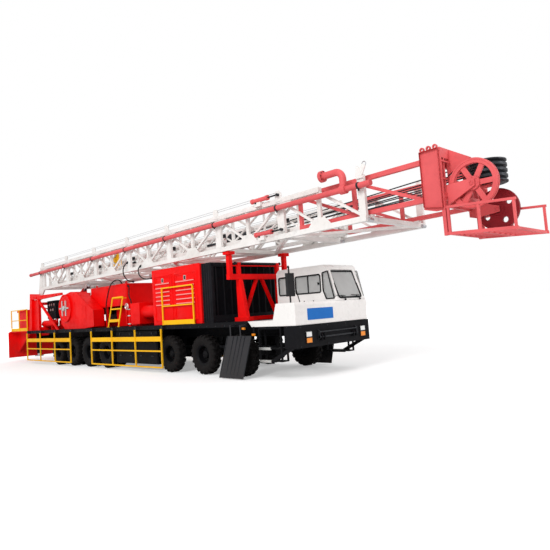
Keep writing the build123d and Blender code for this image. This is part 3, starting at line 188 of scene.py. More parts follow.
old_dust = (0.5, 0.45, 0.38)
finish_table = (
    # name, the record's slot for it, CAD nodes that take it, maker, the maker's values
    ("machine_red", "red_paint", "engine_house front_rest base_frame drawworks_case "
     "machinery_hood gearbox rear_platform lift_barrels", painted, (0.90, 0.002, 0.002),
     (0.78, 0.0015, 0.0015), 0.42, 0.18, (0.42, 0.05, 0.04), 0.0, 0.12),
    ("crown_red", "mast_red", "crown_frame standpipe fast_sheave crown_basket", painted,
     (0.74, 0.115, 0.12), (0.62, 0.09, 0.095), 0.45, 0.2),
    # Pale red for the louvres' lips: a painted highlight where they catch the light
    ("louvre_red", "red_paint", "", painted, (0.88, 0.34, 0.31), (0.82, 0.25, 0.23), 0.35, 0.1),
    # Dark red for the sand sheave and its trim: painted shade, for the shadow its face lies in
    ("dark_red", "dark_red", "sand_sheave", painted, (0.30, 0.012, 0.02), (0.20, 0.01, 0.015),
     0.45, 0.3),
    ("mast_white", "mast_white", "mast_lower mast_upper", painted, (0.81, 0.79, 0.77),
     (0.73, 0.70, 0.67), 0.4, 0.3, old_dust),
    ("cab_white", "cab_white", "front_body cab_shell cab_door", painted, (0.84, 0.82, 0.80),
     (0.78, 0.76, 0.74), 0.25, 0.1, old_dust, 0.3, 0.35),
    ("frame_black", "black_frame",
     "chassis_frame axles bumper side_steps jack_tubes deck side_tanks", painted,
     (0.006, 0.006, 0.008), (0.004, 0.004, 0.005), 0.55, 0.3, (0.013, 0.012, 0.011), 0.0, 0.08),
    ("rail_yellow", "yellow_paint", "hanging_rails deck_guards", painted, (0.97, 0.53, 0.003),
     (0.88, 0.45, 0.002), 0.42, 0.12, (0.70, 0.36, 0.03), 0.0, 0.14),
    ("radiator_grey", "radiator_grey", "radiator", painted, (0.010, 0.010, 0.013),
     (0.006, 0.006, 0.008), 0.55, 0.2, (0.04, 0.04, 0.04), 0.0, 0.12),
    ("core_black", "black_frame", "", painted, (0.007, 0.007, 0.009), (0.004, 0.004, 0.006), 0.6,
     0.2, (0.03, 0.03, 0.03), 0.0, 0.1),
    ("apron_black", "black_frame", "wheel_aprons", painted, (0.014, 0.013, 0.017),
     (0.009, 0.009, 0.011), 0.34, 0.3, (0.04, 0.036, 0.034), 0.0, 0.3),
    ("plate_blue", "cab_white", "", painted, (0.008, 0.15, 0.52), (0.006, 0.13, 0.46), 0.35,
     0.08),
    ("valve_blue", "steel", "", painted, (0.02, 0.10, 0.38), (0.015, 0.08, 0.30), 0.4, 0.1),
    ("tyre_rubber", "tyre", "", rubber, (0.005, 0.004, 0.004), (0.016, 0.013, 0.012), 0.45),
    ("hose_rubber", "black_plastic", "", rubber, (0.008, 0.008, 0.009), (0.03, 0.03, 0.03), 0.3),
    ("seal_rubber", "black_plastic", "", rubber, (0.010, 0.010, 0.011), (0.025, 0.025, 0.025),
     0.25),
    ("dark_iron", "dark_iron", "crown_cluster travelling_block hoist_lines drum", bare_metal,
     (0.045, 0.047, 0.052), (0.02, 0.022, 0.026), 0.5),
    ("rod_steel", "steel", "lift_rods jack_leg_right jack_leg_left", bare_metal,
     (0.62, 0.62, 0.64), (0.42, 0.42, 0.44), 0.25),
    ("brushed_handle", "steel", "", bare_metal, (0.66, 0.66, 0.64), (0.50, 0.50, 0.48), 0.35),
    # Pale grey, part-opaque glass: partly a painted reflection
    ("cab_glass", "glass", "cab_glass", clear_pane, (0.66, 0.67, 0.66), 0.46),
    ("lamp_clear", "lamp", "lamps", ribbed_lens, (0.85, 0.86, 0.84), 0.05),
    ("lamp_amber", "lamp", "", ribbed_lens, (0.90, 0.27, 0.01), 0.08),
    ("seat_black", "black_plastic", "mirrors cab_seat", rubber, (0.02, 0.02, 0.022),
     (0.04, 0.04, 0.04)),
)
finishes, slots, finish_of_node = {}, {}, {}
for name, slot, held, maker, *values in finish_table:
    finishes[name], slots[name] = make_finish(name, maker, values), slot
    finish_of_node.update(dict.fromkeys(held.split(), name))
for name, node in nodes.items():
    plain = "tyre_rubber" if name.startswith("wheel_") else "frame_black"
    node.data.materials.clear()
    node.data.materials.append(finishes[finish_of_node.get(name, plain)])


# ---- Shapes ----

def row(first, pitch, count):
    """Evenly spaced places from the first one on."""
    return [first + number * pitch for number in range(count)]


def around(turn):
    """The direction at an angle in degrees, from the front up."""
    return Vector((cos(radians(turn)), 0, sin(radians(turn))))


def placed(shape, made, start, end):
    """Turns new vertices from Z to the line from start to end, and centres them on it."""
    turn = Vector((0, 0, 1)).rotation_difference(end - start).to_matrix()
    bmesh.ops.rotate(shape, matrix=turn, verts=made)
    bmesh.ops.translate(shape, vec=(start + end) / 2, verts=made)


def box(shape, first, second):
    """A square block between two opposite corners."""
    low = Vector([min(pair) for pair in zip(first, second)])
    high = Vector([max(pair) for pair in zip(first, second)])
    made = bmesh.ops.create_cube(shape, size=1.0)["verts"]
    bmesh.ops.scale(shape, vec=high - low, verts=made)
    bmesh.ops.translate(shape, vec=(low + high) / 2, verts=made)


def bar(shape, start, end, width, depth):
    """A square bar from start to end."""
    start, end = Vector(start), Vector(end)
    made = bmesh.ops.create_cube(shape, size=1.0)["verts"]
    bmesh.ops.scale(shape, vec=(width, depth, (end - start).length), verts=made)
    placed(shape, made, start, end)


def rod(shape, start, end, radius, sides=12, tip=None):
    """A round bar from start to end, tapered to the tip's radius where one is given."""
    start, end = Vector(start), Vector(end)
    made = bmesh.ops.create_cone(shape, cap_ends=True, segments=sides, radius1=radius,
                                 radius2=radius if tip is None else tip,
                                 depth=(end - start).length)["verts"]
    placed(shape, made, start, end)


def turned(shape, profile, centre, steps=40, hand=1, axis=(0, 1, 0)):
    """A closed profile of (distance along the axis, radius) points, turned about the axis."""
    centre, axis = Vector(centre), Vector(axis)
    points = [shape.verts.new(centre + hand * along * axis + Vector((0, 0, radius)))
              for along, radius in profile]
    edges = [shape.edges.new((points[k - 1], points[k])) for k in range(len(points))]
    bmesh.ops.spin(shape, geom=points + edges, cent=centre, axis=axis, angle=2 * pi,
                   steps=steps, use_merge=True)


def bolt_ring(shape, centre, radius, count, start, length, size, axis=(0, 1, 0)):
    """Hexagon heads in a ring about an axis, from a distance along it and of one length."""
    along, across = Vector(axis), Vector((axis[1], axis[0], 0))
    for number in range(count):
        angle = 2 * pi * number / count
        foot = Vector(centre) + start * along + radius * (sin(angle) * across +
                                                          cos(angle) * Vector((0, 0, 1)))
        rod(shape, foot, foot + length * along, size, 6)


def side_frame(rear, front, low, high, y):
    """The corners of an upright rectangle that faces the side."""
    return [(rear, y, low), (front, y, low), (front, y, high), (rear, y, high)]


def front_frame(x, right, left, low, high):
    """The corners of an upright rectangle that faces the front."""
    return [(x, right, low), (x, left, low), (x, left, high), (x, right, high)]


def at_side(outline, y):
    """The points of an (x, z) outline at one distance from the middle plane."""
    return [(x, y, z) for x, z in outline]


def outline_face(shape, points, corner):
    """A flat face with the given corners, each rounded to the corner radius."""
    others = set(shape.faces)
    corners = [shape.verts.new(point) for point in points]
    shape.faces.new(corners)
    if corner:
        bmesh.ops.bevel(shape, geom=corners, offset=corner, segments=4, affect="VERTICES",
                        profile=0.5, material=-1)
    return next(face for face in shape.faces if face not in others)


def thickened(shape, faces, thickness):
    """Extrudes faces by a thickness vector. Returns the vertices that moved."""
    made = bmesh.ops.extrude_face_region(shape, geom=faces)["geom"]
    moved = [item for item in made if isinstance(item, bmesh.types.BMVert)]
    bmesh.ops.translate(shape, vec=thickness, verts=moved)
    return moved


def plate(shape, points, thickness, corner=0.0):
    """A flat plate: an outline moved through a thickness vector."""
    thickened(shape, [outline_face(shape, points, corner)], thickness)


def band(shape, points, width, thickness, corner=0.0):
    """A flat band that follows an outline inside it, such as a window seal or a door border."""
    face = outline_face(shape, points, corner)
    rim_faces = bmesh.ops.inset_region(shape, faces=[face], thickness=width, use_boundary=True,
                                       use_even_offset=True)["faces"]
    bmesh.ops.delete(shape, geom=[face], context="FACES_ONLY")
    thickened(shape, rim_faces, thickness)


def round_edges(shape, width, segments=1):
    """Rounds every edge of a shape."""
    bmesh.ops.bevel(shape, geom=shape.edges[:], offset=width, segments=segments,
                    affect="EDGES", profile=0.5, material=-1)


def mirrored(shape):
    """Adds the mirror image of a shape on the other side of the middle plane."""
    made = bmesh.ops.duplicate(shape, geom=shape.verts[:] + shape.edges[:] + shape.faces[:])
    copies = [item for item in made["geom"] if isinstance(item, bmesh.types.BMVert)]
    bmesh.ops.scale(shape, vec=(1, -1, 1), verts=copies)


sharp_angle, rounded_angle, merge_gap = radians(35), radians(40), 0.0002
# Nodes that pieces stand for, hidden when the pieces are made
stands_for = {"head_lamps": "lamps", "deck_rails": "deck_guards", "side_boxes": "side_tanks"}


def linked(name, data):
    """A new object of the scene that holds some data."""
    made = bpy.data.objects.new(name, data)
    bpy.context.scene.collection.objects.link(made)
    return made


def finish_piece(name, shape, finish, body="carrier", replaced=None):
    """Makes a finished piece of a shape. It rides on a body, takes its finish and hides the node
    that it replaces.
    """
    bmesh.ops.recalc_face_normals(shape, faces=shape.faces)
    mesh = bpy.data.meshes.new(name)
    shape.to_mesh(mesh)
    shape.free()
    mesh.materials.append(finishes[finish])
    mesh.shade_smooth()
    mesh.set_sharp_from_angle(angle=sharp_angle)
    made = linked(name, mesh)
    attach(made, body)
    if replaced:
        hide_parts(replaced)
    return made


def pieces(body="carrier", both=False, pose=None, **finish_of):
    """A decorator: its function fills a shape for each named piece, finished at once."""
    def draw(fill):
        shapes = [bmesh.new() for _ in finish_of]
        fill(*shapes)
        for (name, finish), shape in zip(finish_of.items(), shapes):
            if both:
                mirrored(shape)
            if pose:
                bmesh.ops.transform(shape, matrix=pose, verts=shape.verts)
            finish_piece(name, shape, finish, body, stands_for.get(name))
        return fill
    return draw


def on_mast(body="lower_mast", **options):
    """The same for pieces that are drawn on the level mast and tilted to its pose."""
    return pieces(body, pose=mast_pose, **options)


def softened(node_name, width):
    """Stands for a CAD node with its sharp edges rounded to the width."""
    node = nodes[node_name]
    shape = bmesh.new()
    shape.from_mesh(node.data)
    bmesh.ops.remove_doubles(shape, verts=shape.verts, dist=merge_gap)
    bmesh.ops.dissolve_limit(shape, angle_limit=radians(1), verts=shape.verts,
                             edges=shape.edges)
    made = finish_piece("rounded_" + node_name, shape, finish_of_node[node_name],
                        node["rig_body"], node_name)
    rounding = made.modifiers.new("rounding", "BEVEL")
    rounding.width = width
    rounding.segments = 2
    rounding.limit_method = "ANGLE"
    rounding.angle_limit = rounded_angle
    rounding.use_clamp_overlap = True


# The mast is drawn level and tilted about its hinge
mast_hinge = Vector((-8.7, 0, 2.9))
mast_tilt = radians(0.8)
mast_pose = (Matrix.Translation(mast_hinge) @ Matrix.Rotation(-mast_tilt, 4, "Y") @
             Matrix.Translation(-mast_hinge))
along_x = (1, 0, 0)

# ---- Wheels ----

tyre_radius, tyre_half = 0.5625, 0.156
lug_depth, lug_count, lug_run, lug_slant = 0.034, 20, 0.075, 0.35
rim_seat, hub_radius = 0.285, 0.105
nut_ring, nut_count = 0.142, 10
single_axles, single_track = 3, 2.49
twin_track, twin_pitch = 2.50, 0.348


def tyre(shape, centre, hand):
    """A tyre with two rows of tread lugs that wrap over its shoulders."""
    body = tyre_radius - lug_depth
    half = ((0.0, body), (0.075, body - 0.002), (0.118, body - 0.012), (0.146, body - 0.055),
            (tyre_half, body - 0.12), (0.150, rim_seat + 0.07), (0.128, rim_seat + 0.01),
            (0.118, rim_seat - 0.012))
    turned(shape, [(-along, radius) for along, radius in reversed(half[1:])] + list(half), centre)
    lug = ((0.008, body - 0.01), (0.008, tyre_radius - 0.002), (0.110, tyre_radius - 0.004),
           (0.150, tyre_radius - 0.045), (tyre_half - 0.002, tyre_radius - 0.105),
           (0.140, body - 0.085), (0.110, body - 0.02))
    for side in (-1, 1):
        for number in range(lug_count):
            near = [shape.verts.new((0, side * along, radius)) for along, radius in lug]
            far = thickened(shape, [shape.faces.new(near)], (0, 0, 0))
            turn = 2 * pi * (number + (0.5 if side > 0 else 0)) / lug_count
            for run, end in ((-lug_run / 2, near), (lug_run / 2, far)):
                for corner in end:
                    slant = lug_slant * abs(corner.co.y) * hand + run
                    corner.co.rotate(Matrix.Rotation(turn + slant / tyre_radius, 3, "Y"))
            bmesh.ops.translate(shape, vec=centre, verts=near + far)


def rim(shape, centre, hand, disc, hub_end):
    """A wheel rim: its lip, lock ring and well, a dished disc with nuts, and the hub."""
    lip = ((-0.118, rim_seat), (-0.126, rim_seat + 0.014), (-0.132, rim_seat), (-0.12, 0.255),
           (0.09, 0.245), (0.112, 0.262), (0.126, rim_seat - 0.006), (0.136, rim_seat + 0.012),
           (0.128, rim_seat + 0.02), (0.116, rim_seat))
    turned(shape, lip, centre, hand=hand)
    dish = ((disc - 0.055, 0.25), (disc - 0.04, 0.205), (disc, 0.175), (disc, hub_radius),
            (disc - 0.016, hub_radius), (disc - 0.018, 0.17), (disc - 0.056, 0.2),
            (disc - 0.07, 0.25))
    turned(shape, dish, centre, hand=hand)
    hub = ((disc - 0.03, 0.012), (disc - 0.03, hub_radius + 0.01), (hub_end - 0.03, hub_radius),
           (hub_end - 0.018, hub_radius - 0.014), (hub_end - 0.006, 0.06), (hub_end, 0.05),
           (hub_end, 0.012))
    turned(shape, hub, centre, 24, hand)
    bolt_ring(shape, centre, nut_ring, nut_count, hand * (disc - 0.005), hand * 0.034, 0.017)


def dressed_wheel(node_name):
    """A tyre, or two twin tyres, with rims in place of one wheel node."""
    low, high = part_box(node_name)
    middle = (low + high) / 2
    hand = 1 if middle.y > 0 else -1
    tyres, rims = bmesh.new(), bmesh.new()
    if int(node_name.split("_")[1]) <= single_axles:
        wheels = ((single_track / 2, -0.02, 0.07),)
    else:
        wheels = ((twin_track / 2, -0.045, 0.06), (twin_track / 2 - twin_pitch, 0.04, 0.045))
    for out, disc, hub_end in wheels:
        centre = (middle.x, hand * out, middle.z)
        tyre(tyres, centre, hand)
        rim(rims, centre, hand, disc, hub_end)
    finish_piece(node_name + "_tyre", tyres, "tyre_rubber", node_name, node_name)
    finish_piece(node_name + "_rim", rims, "frame_black", node_name)


for name in sorted(nodes):
    if name.startswith("wheel_") and name != "wheel_aprons":
        dressed_wheel(name)

# ---- Steelwork with rounded edges ----

# node: edge radius
rounded_nodes = {
    "front_body": 0.022, "cab_shell": 0.02, "cab_door": 0.01, "mirrors": 0.018, "bumper": 0.012,
    "engine_house": 0.008, "drawworks_case": 0.016, "machinery_hood": 0.02, "gearbox": 0.018,
    "front_rest": 0.008, "base_frame": 0.008, "rear_platform": 0.008, "travelling_block": 0.05}
for name, width in rounded_nodes.items():
    softened(name, width)


# ---- Cab and front body ----

cab_right, cab_left, cab_nose, screen_low, screen_high = 0.15, 1.40, 7.02, 1.88, 2.68
screen_lean = 0.30
screen_out = Vector((screen_high - screen_low, 0, screen_lean)).normalized()
nose_front, seal_depth, seal_grow = 7.03, 0.012, 0.014
side_windows = (
    # rear, front, low, high
    (5.00, 5.59, 2.08, 2.58),
    (5.64, 6.54, 2.08, 2.56),
)
door_window = (5.44, 6.14, 2.08, 2.60)
quarter_window = ((6.60, 2.60), (6.81, 2.64), (6.99, 1.89), (6.70, 1.89), (6.60, 2.12))


def screen_point(across, along):
    """A point on the leaning windscreen: across it and up along its slope, as shares."""
    return Vector((cab_nose - along * screen_lean, cab_right + across * (cab_left - cab_right),
                   screen_low + along * (screen_high - screen_low)))


def side_seal(shape, window, y, width):
    """A rubber seal round an upright side window, a little larger than its opening."""
    rear, front, low, high = window
    band(shape, side_frame(rear - seal_grow, front + seal_grow, low - seal_grow,
                           high + seal_grow, y), width, (0, seal_depth, 0), 0.07)


@pieces(window_seals="seal_rubber")
def window_seals(shape):
    """Black rubber seals round the fixed panes of the cab."""
    for window in side_windows:
        side_seal(shape, window, cab_right - 0.011, 0.036)
    for y in (cab_right - 0.011, cab_left - 0.001):
        band(shape, at_side(quarter_window, y), 0.03, (0, seal_depth, 0), 0.03)
    corners = [screen_point(u, v) + 0.001 * screen_out for u, v in
               ((0.105, 0.015), (0.895, 0.015), (0.895, 0.945), (0.105, 0.945))]
    band(shape, corners, 0.042, 0.014 * screen_out, 0.08)
    band(shape, front_frame(4.921, 0.356, 1.194, 2.066, 2.594), 0.032, (-seal_depth, 0, 0), 0.05)


@pieces("door", door_window_seal="seal_rubber")
def door_seal(shape):
    """The seal of the door's window, which swings with the door."""
    side_seal(shape, door_window, cab_left - 0.001, 0.034)


@pieces(wipers="seal_rubber")
def wipers(shape):
    """Two wipers parked at the foot of the windscreen, and the sliding pane's catch."""
    for across in (0.30, 0.80):
        foot = screen_point(across, -0.03)
        pivot = foot + 0.02 * screen_out
        tip = screen_point(across - 0.12, 0.10) + 0.028 * screen_out
        rod(shape, foot - 0.012 * screen_out, pivot + 0.01 * screen_out, 0.02, 10)
        bar(shape, pivot, tip, 0.014, 0.01)
        bar(shape, screen_point(across + 0.02, 0.09) + 0.024 * screen_out,
            screen_point(across - 0.26, 0.11) + 0.024 * screen_out, 0.016, 0.012)
    rear, front, low, high = side_windows[1]
    middle = (rear + front) / 2
    box(shape, (middle - 0.012, cab_right - 0.004, low + 0.02),
        (middle + 0.012, cab_right + 0.02, high - 0.02))
    box(shape, (front - 0.10, cab_right - 0.012, (low + high) / 2 - 0.03),
        (front - 0.06, cab_right + 0.018, (low + high) / 2 + 0.03))


@pieces(front_plate="plate_blue", front_handrail="seal_rubber", marker_lamps="lamp_amber",
        marker_brackets="frame_black")
def front_details(sign, rail, lamps, brackets):
    """The bare blue plate, the handrail beside the cab and the marker lamps."""
    plate(sign, front_frame(nose_front - 0.001, -0.02, -0.99, 1.41, 1.69), (0.006, 0, 0), 0.01)
    rod(rail, (6.80, -1.08, 2.15), (6.80, -0.97, 1.835), 0.012)
    rod(rail, (6.79, -1.30, 2.69), (6.79, -1.30, 2.74), 0.034, 12, 0.02)
    for y in (-0.98, -0.64):
        rod(rail, (6.95, y, 1.84), (6.95, y, 1.875), 0.011)
    for x, z in ((5.135, 1.245), (5.505, 1.085)):
        box(lamps, (x, -1.452, z), (x + 0.11, -1.422, z + 0.055))
    box(brackets, (5.16, -1.424, 1.235), (5.22, -1.412, 1.335))
    box(brackets, (5.53, -1.424, 1.075), (5.59, -1.412, 1.31))


@pieces(head_lamps="lamp_clear", turn_lamps="lamp_amber", lamp_bezels="dark_iron")
def lamp_faces(clear, amber, bezel):
    """Lenses of the head lamps, white over amber, each in a dark bezel."""
    for y in (-1.01, 1.13):
        for shape, low, high in ((clear, 1.007, 1.143), (amber, 0.862, 0.998)):
            corners = front_frame(7.052, y - 0.108, y + 0.108, low, high)
            plate(shape, corners, (0.014, 0, 0), 0.014)
            band(bezel, corners, 0.011, (0.019, 0, 0), 0.014)


@pieces(tow_bar="dark_iron", step_edges="brushed_handle", step_braces="frame_black")
def bumper_details(tow, edges, braces):
    """The bars through the tow lugs, the bumper's bolts, and the steps' edges and braces."""
    x, z = 7.10, 0.98
    rod(tow, (x, -0.66, z), (x, 0.80, z), 0.021, 16)
    rod(tow, (x, -0.66, z + 0.12), (x, 0.80, z + 0.12), 0.016, 16)
    for y in (-0.68, 0.80):
        rod(tow, (x, y, z), (x, y + 0.02, z), 0.034, 16)
        plate(tow, at_side(((7.045, 0.90), (7.115, 0.95), (7.115, 1.13), (7.045, 1.17)), y),
              (0, 0.02, 0), 0.01)
    for y in (-1.30, -0.30, 0.42, 1.36):
        for z in (0.80, 1.25):
            rod(tow, (7.045, y, z), (7.058, y, z), 0.016, 6)
    for z in (0.44, 0.75):
        box(edges, (5.715, 1.395, z - 0.022), (6.13, 1.423, z + 0.042))
    bar(braces, (6.17, 1.40, 0.45), (7.01, 1.40, 0.85), 0.09, 0.035)
    bar(braces, (5.72, 1.40, 0.43), (6.21, 1.40, 0.43), 0.07, 0.035)
    mirrored(edges)
    mirrored(braces)


# ---- Engine house and radiator ----

panel_face = 1.368
door_panels = (
    # rear, front
    (0.95, 1.95),
    (2.06, 3.21),
)
panel_low, panel_high = 1.56, 2.99
louvre_first, louvre_pitch, louvre_count = 2.07, 0.13, 6
fin_count, fin_span = 96, 2.34


@pieces(both=True, house_louvres="machine_red", house_latch_cups="core_black",
        louvre_lips="louvre_red", house_latches="brushed_handle")
def house_doors(border, cups, lips, latches):
    """Raised door borders, louvres with pale lips painted as a highlight, and square latches on
    both sides.
    """
    face, out = panel_face - 0.001, 0.012
    for rear, front in door_panels:
        middle = (rear + front) / 2
        band(border, side_frame(rear + 0.02, front - 0.02, panel_low + 0.02, panel_high - 0.02,
                                face), 0.022, (0, out, 0), 0.04)
        band(border, side_frame(rear + 0.12, front - 0.12, panel_high - 0.28, panel_high - 0.07,
                                face), 0.018, (0, out, 0), 0.03)
        band(latches, side_frame(middle - 0.055, middle + 0.055, panel_high - 0.245,
                                 panel_high - 0.10, face), 0.018, (0, 2 * out, 0), 0.012)
        box(cups, (middle - 0.04, face, panel_high - 0.23),
            (middle + 0.04, face + 1.5 * out, panel_high - 0.115))
        for z in row(louvre_first, louvre_pitch, louvre_count):
            edge = face + 3.2 * out
            plate(border, [(rear + 0.125, face, z - 0.006), (rear + 0.125, edge, z - 0.006),
                           (rear + 0.125, edge, z + 0.012), (rear + 0.125, face, z + 0.062)],
                  (front - rear - 0.25, 0, 0))
            # The pale lip along each louvre is a painted highlight
            box(lips, (rear + 0.12, face + 2.0 * out, z - 0.012),
                (front - 0.12, face + 3.4 * out, z + 0.016))
        for z in (panel_low + 0.2, panel_high - 0.35):
            rod(border, (rear + 0.005, face + 1.2 * out, z - 0.06),
                (rear + 0.005, face + 1.2 * out, z + 0.06), 0.013, 10)


@pieces(both=True, house_roof_edges="machine_red")
def house_roof(shape):
    """Edge strips and lifting bosses on the engine house's roof."""
    box(shape, (0.81, 1.33, 3.168), (3.33, 1.352, 3.182))
    for x in (1.35, 2.75):
        rod(shape, (x, 1.1, 3.169), (x, 1.1, 3.19), 0.03, 10)


@pieces(radiator_fins="core_black", radiator_flanges="radiator_grey")
def radiator_details(fins, flanges):
    """The radiator's fins behind its bars, flanged frame and side ribs."""
    for y in row(-fin_span / 2, fin_span / (fin_count - 1), fin_count):
        box(fins, (3.702, y - 0.004, 1.66), (3.722, y + 0.004, 3.03))
    for x in (3.40, 3.50, 3.60, 3.70):
        box(flanges, (x - 0.016, 1.289, 1.50), (x + 0.016, 1.302, 3.10))
    for z in row(1.55, 0.19, 9):
        rod(flanges, (3.775, 1.26, z), (3.787, 1.26, z), 0.012, 6)
    mirrored(flanges)
    band(flanges, front_frame(3.759, -1.285, 1.285, 1.46, 3.145), 0.05, (0.018, 0, 0), 0.02)


# ---- Drawworks, hood and gearbox ----

drum_x, drum_z, brake_face, brake_radius = -5.92, 2.30, 1.32, 0.56
case_face, hood_face = 1.259, 0.829
rope_turns, rope_span = 48, 1.40
valve_wheel = Vector((-1.03, -1.262, 2.14))


@pieces(both=True, brake_cover_rims="machine_red", brake_handles="brushed_handle")
def brake_covers(covers, handles):
    """The brake covers' rims, bolts and bright cross handles."""
    centre = (drum_x, brake_face, drum_z)
    turned(covers, ((-0.002, brake_radius - 0.05), (-0.002, brake_radius + 0.006),
                    (0.014, brake_radius + 0.006), (0.018, brake_radius - 0.002),
                    (0.014, brake_radius - 0.05)), centre, 48)
    bolt_ring(covers, centre, 0.535, 16, 0.012, 0.014, 0.014)
    inner, outer = brake_face - 0.001, brake_face + 0.056
    box(handles, (drum_x - 0.425, inner, drum_z - 0.03), (drum_x + 0.425, outer, drum_z + 0.03))
    for x in (drum_x - 0.16, drum_x + 0.16):
        box(handles, (x - 0.03, inner, drum_z - 0.31), (x + 0.03, outer, drum_z + 0.31))
    round_edges(handles, 0.006)
    turned(handles, ((0.0, 0.012), (0.0, 0.11), (0.07, 0.10), (0.078, 0.09), (0.078, 0.012)),
           centre, 24)


@pieces(both=True, case_flanges="machine_red")
def case_details(shape):
    """Bolted flange round each chain case, and its inspection cover."""
    flange = ((-6.48, 1.70), (-6.48, 2.50), (-6.23, 2.82), (-5.45, 2.94), (-4.90, 2.90),
              (-3.50, 2.13), (-3.50, 1.50), (-4.40, 1.45), (-6.10, 1.45))
    cover = ((-5.15, 1.80), (-4.15, 1.80), (-4.15, 2.30), (-5.15, 2.55))
    band(shape, at_side(flange, case_face), 0.045, (0, 0.012, 0))
    band(shape, at_side(cover, case_face), 0.035, (0, 0.01, 0), 0.05)
    for run in row(0, 0.13, 11):
        x, z = -4.85 + run, 2.845 - 0.55 * run
        rod(shape, (x, case_face + 0.003, z), (x, case_face + 0.021, z), 0.013, 6)


@pieces("drum", drum_rope="dark_iron")
def drum_rope(shape):
    """The rope that is wound on the drum."""
    pitch = rope_span / rope_turns
    for y in row((pitch - rope_span) / 2, pitch, rope_turns):
        turned(shape, ((-0.0145, 0.326), (-0.010, 0.342), (0.0, 0.348), (0.010, 0.342),
                       (0.0145, 0.326)), (drum_x, y, drum_z), 32)


@pieces(hood_seams="machine_red", valve_stand="brushed_handle")
def hood_details(seams, stand):
    """Seams and lifting eyes on the machinery hood, and the valve stand beside the gearbox."""
    for rear, front in ((-4.50, -3.20), (-3.14, -1.82)):
        band(seams, side_frame(rear, front, 2.26, 2.94, hood_face), 0.02, (0, 0.01, 0), 0.03)
    mirrored(seams)
    for y in (-0.7, 0.7):
        for x in (-4.3, -2.0):
            band(seams, side_frame(x - 0.06, x + 0.06, 2.999, 3.09, y), 0.028, (0, 0.02, 0), 0.04)
    turned(stand, ((-0.012, 0.10), (0.0, 0.115), (0.012, 0.10), (0.0, 0.088)), valve_wheel, 24)
    rod(stand, valve_wheel + Vector((0, 0.027, 0)), valve_wheel - Vector((0, 0.008, 0)), 0.022)
    for turn in (0, 60, 120):
        reach = 0.098 * around(turn)
        rod(stand, valve_wheel - reach, valve_wheel + reach, 0.008, 8)
    for z in (1.52, 1.80, 2.02):
        rod(stand, (-1.03, -1.15, z), (-1.03, -1.15, z + 0.035), 0.082, 16)


# ---- Mast ----

# The level mast: a lower section open at the top, the upper one inside it
mast_low, mast_high, mast_half, chord_y = 3.21, 4.22, 1.24, 1.18
mast_rear, mast_front, bay_count = -8.52, 9.11, 7
station_first, station_last = mast_rear + 0.27, mast_front - 0.06
bay_length = (station_last - station_first) / bay_count
stations = row(station_first, bay_length, bay_count + 1)
plate_top = mast_high + 0.19
upper_rear, upper_break, upper_bays, upper_side = -8.20, 7.00, 12, 0.96
upper_low, upper_high = 3.46, 4.14
pipe_y, pipe_z, pipe_radius = -1.33, 3.97, 0.065
latch_y = -1.30


@on_mast(both=True, mast_gussets="mast_white")
def mast_gussets(shape):
    """Gusset plates where the bracing meets the chords, and weld pads on the guide plates."""
    face, out = chord_y + 0.035, (0, 0.012, 0)
    high, low = mast_high - 0.12, mast_low + 0.12
    for x in stations[:-1]:
        plate(shape, at_side(((x + 0.02, high), (x + 0.42, high), (x + 0.24, high - 0.18),
                              (x + 0.02, high - 0.22)), face), out)
        middle = x + bay_length / 2
        plate(shape, at_side(((middle - 0.34, low), (middle + 0.34, low),
                              (middle + 0.16, low + 0.18), (middle - 0.16, low + 0.18)),
                             face), out)
    for x in stations:
        box(shape, (x - 0.05, mast_half - 0.075, mast_high - 0.001),
            (x + 0.02, mast_half - 0.022, mast_high + 0.16))


@on_mast("upper_mast", both=True, upper_webs="mast_white")
def upper_webs(shape):
    """Cross braces and posts that fill the sides of the upper section."""
    pitch = (upper_break - upper_rear) / upper_bays
    for number, start in enumerate(row(upper_rear, pitch, upper_bays)):
        first, last = (upper_high, upper_low) if number % 2 else (upper_low, upper_high)
        bar(shape, (start + 0.03, upper_side, first), (start + pitch - 0.03, upper_side, last),
            0.04, 0.036)
        if number % 2:
            bar(shape, (start, upper_side, upper_low), (start, upper_side, upper_high), 0.046,
                0.046)


@on_mast(mast_cylinder="mast_white")
def mast_cylinder(shape):
    """The long lifting cylinder of the upper section, carried by the lower one at its foot."""
    profile = [(-8.31, 0.02), (-8.31, 0.10), (-8.19, 0.105)]
    for x in (-6.0, -3.6, -1.2, 1.2):
        profile += [(x, 0.105), (x, 0.122), (x + 0.06, 0.122), (x + 0.06, 0.105)]
    profile += [(2.55, 0.105), (2.55, 0.125), (2.70, 0.125), (2.70, 0.02)]
    turned(shape, profile, (0, 0.13, 3.72), 20, axis=along_x)
    for y in (-0.02, 0.25):
        plate(shape, side_frame(-8.33, -8.21, 3.30, 3.78, y), (0, 0.03, 0))


@on_mast(latch_cylinders="crown_red", latch_rods="dark_iron", latch_brackets="mast_white")
def latch_cylinders(red, dark, white):
    """Small red lock cylinders on the right side, with rods, clevises and their brackets."""
    y = latch_y
    for x, z in ((5.70, 4.30), (5.75, 3.43)):
        rod(red, (x, y, z), (x + 0.56, y, z), 0.055, 16)
        rod(red, (x - 0.02, y, z), (x + 0.04, y, z), 0.066, 16)
        rod(red, (x + 0.50, y, z), (x + 0.58, y, z), 0.066, 16)
        rod(dark, (x + 0.57, y, z), (x + 0.92, y, z), 0.02, 10)
        rod(dark, (x + 0.90, y - 0.03, z), (x + 0.90, y + 0.065, z), 0.035, 12)
        box(dark, (x + 0.10, y - 0.03, z - 0.085), (x + 0.16, y + 0.03, z - 0.05))
        box(white, (x + 0.08, y - 0.02, z - 0.16), (x + 0.30, -1.19, z - 0.05))
        box(white, (x + 0.85, y + 0.045, z - 0.05), (x + 0.95, -1.19, z + 0.05))
        box(white, (x + 0.08, -1.238, min(z - 0.16, 4.10)), (x + 0.30, -1.19, z - 0.05))


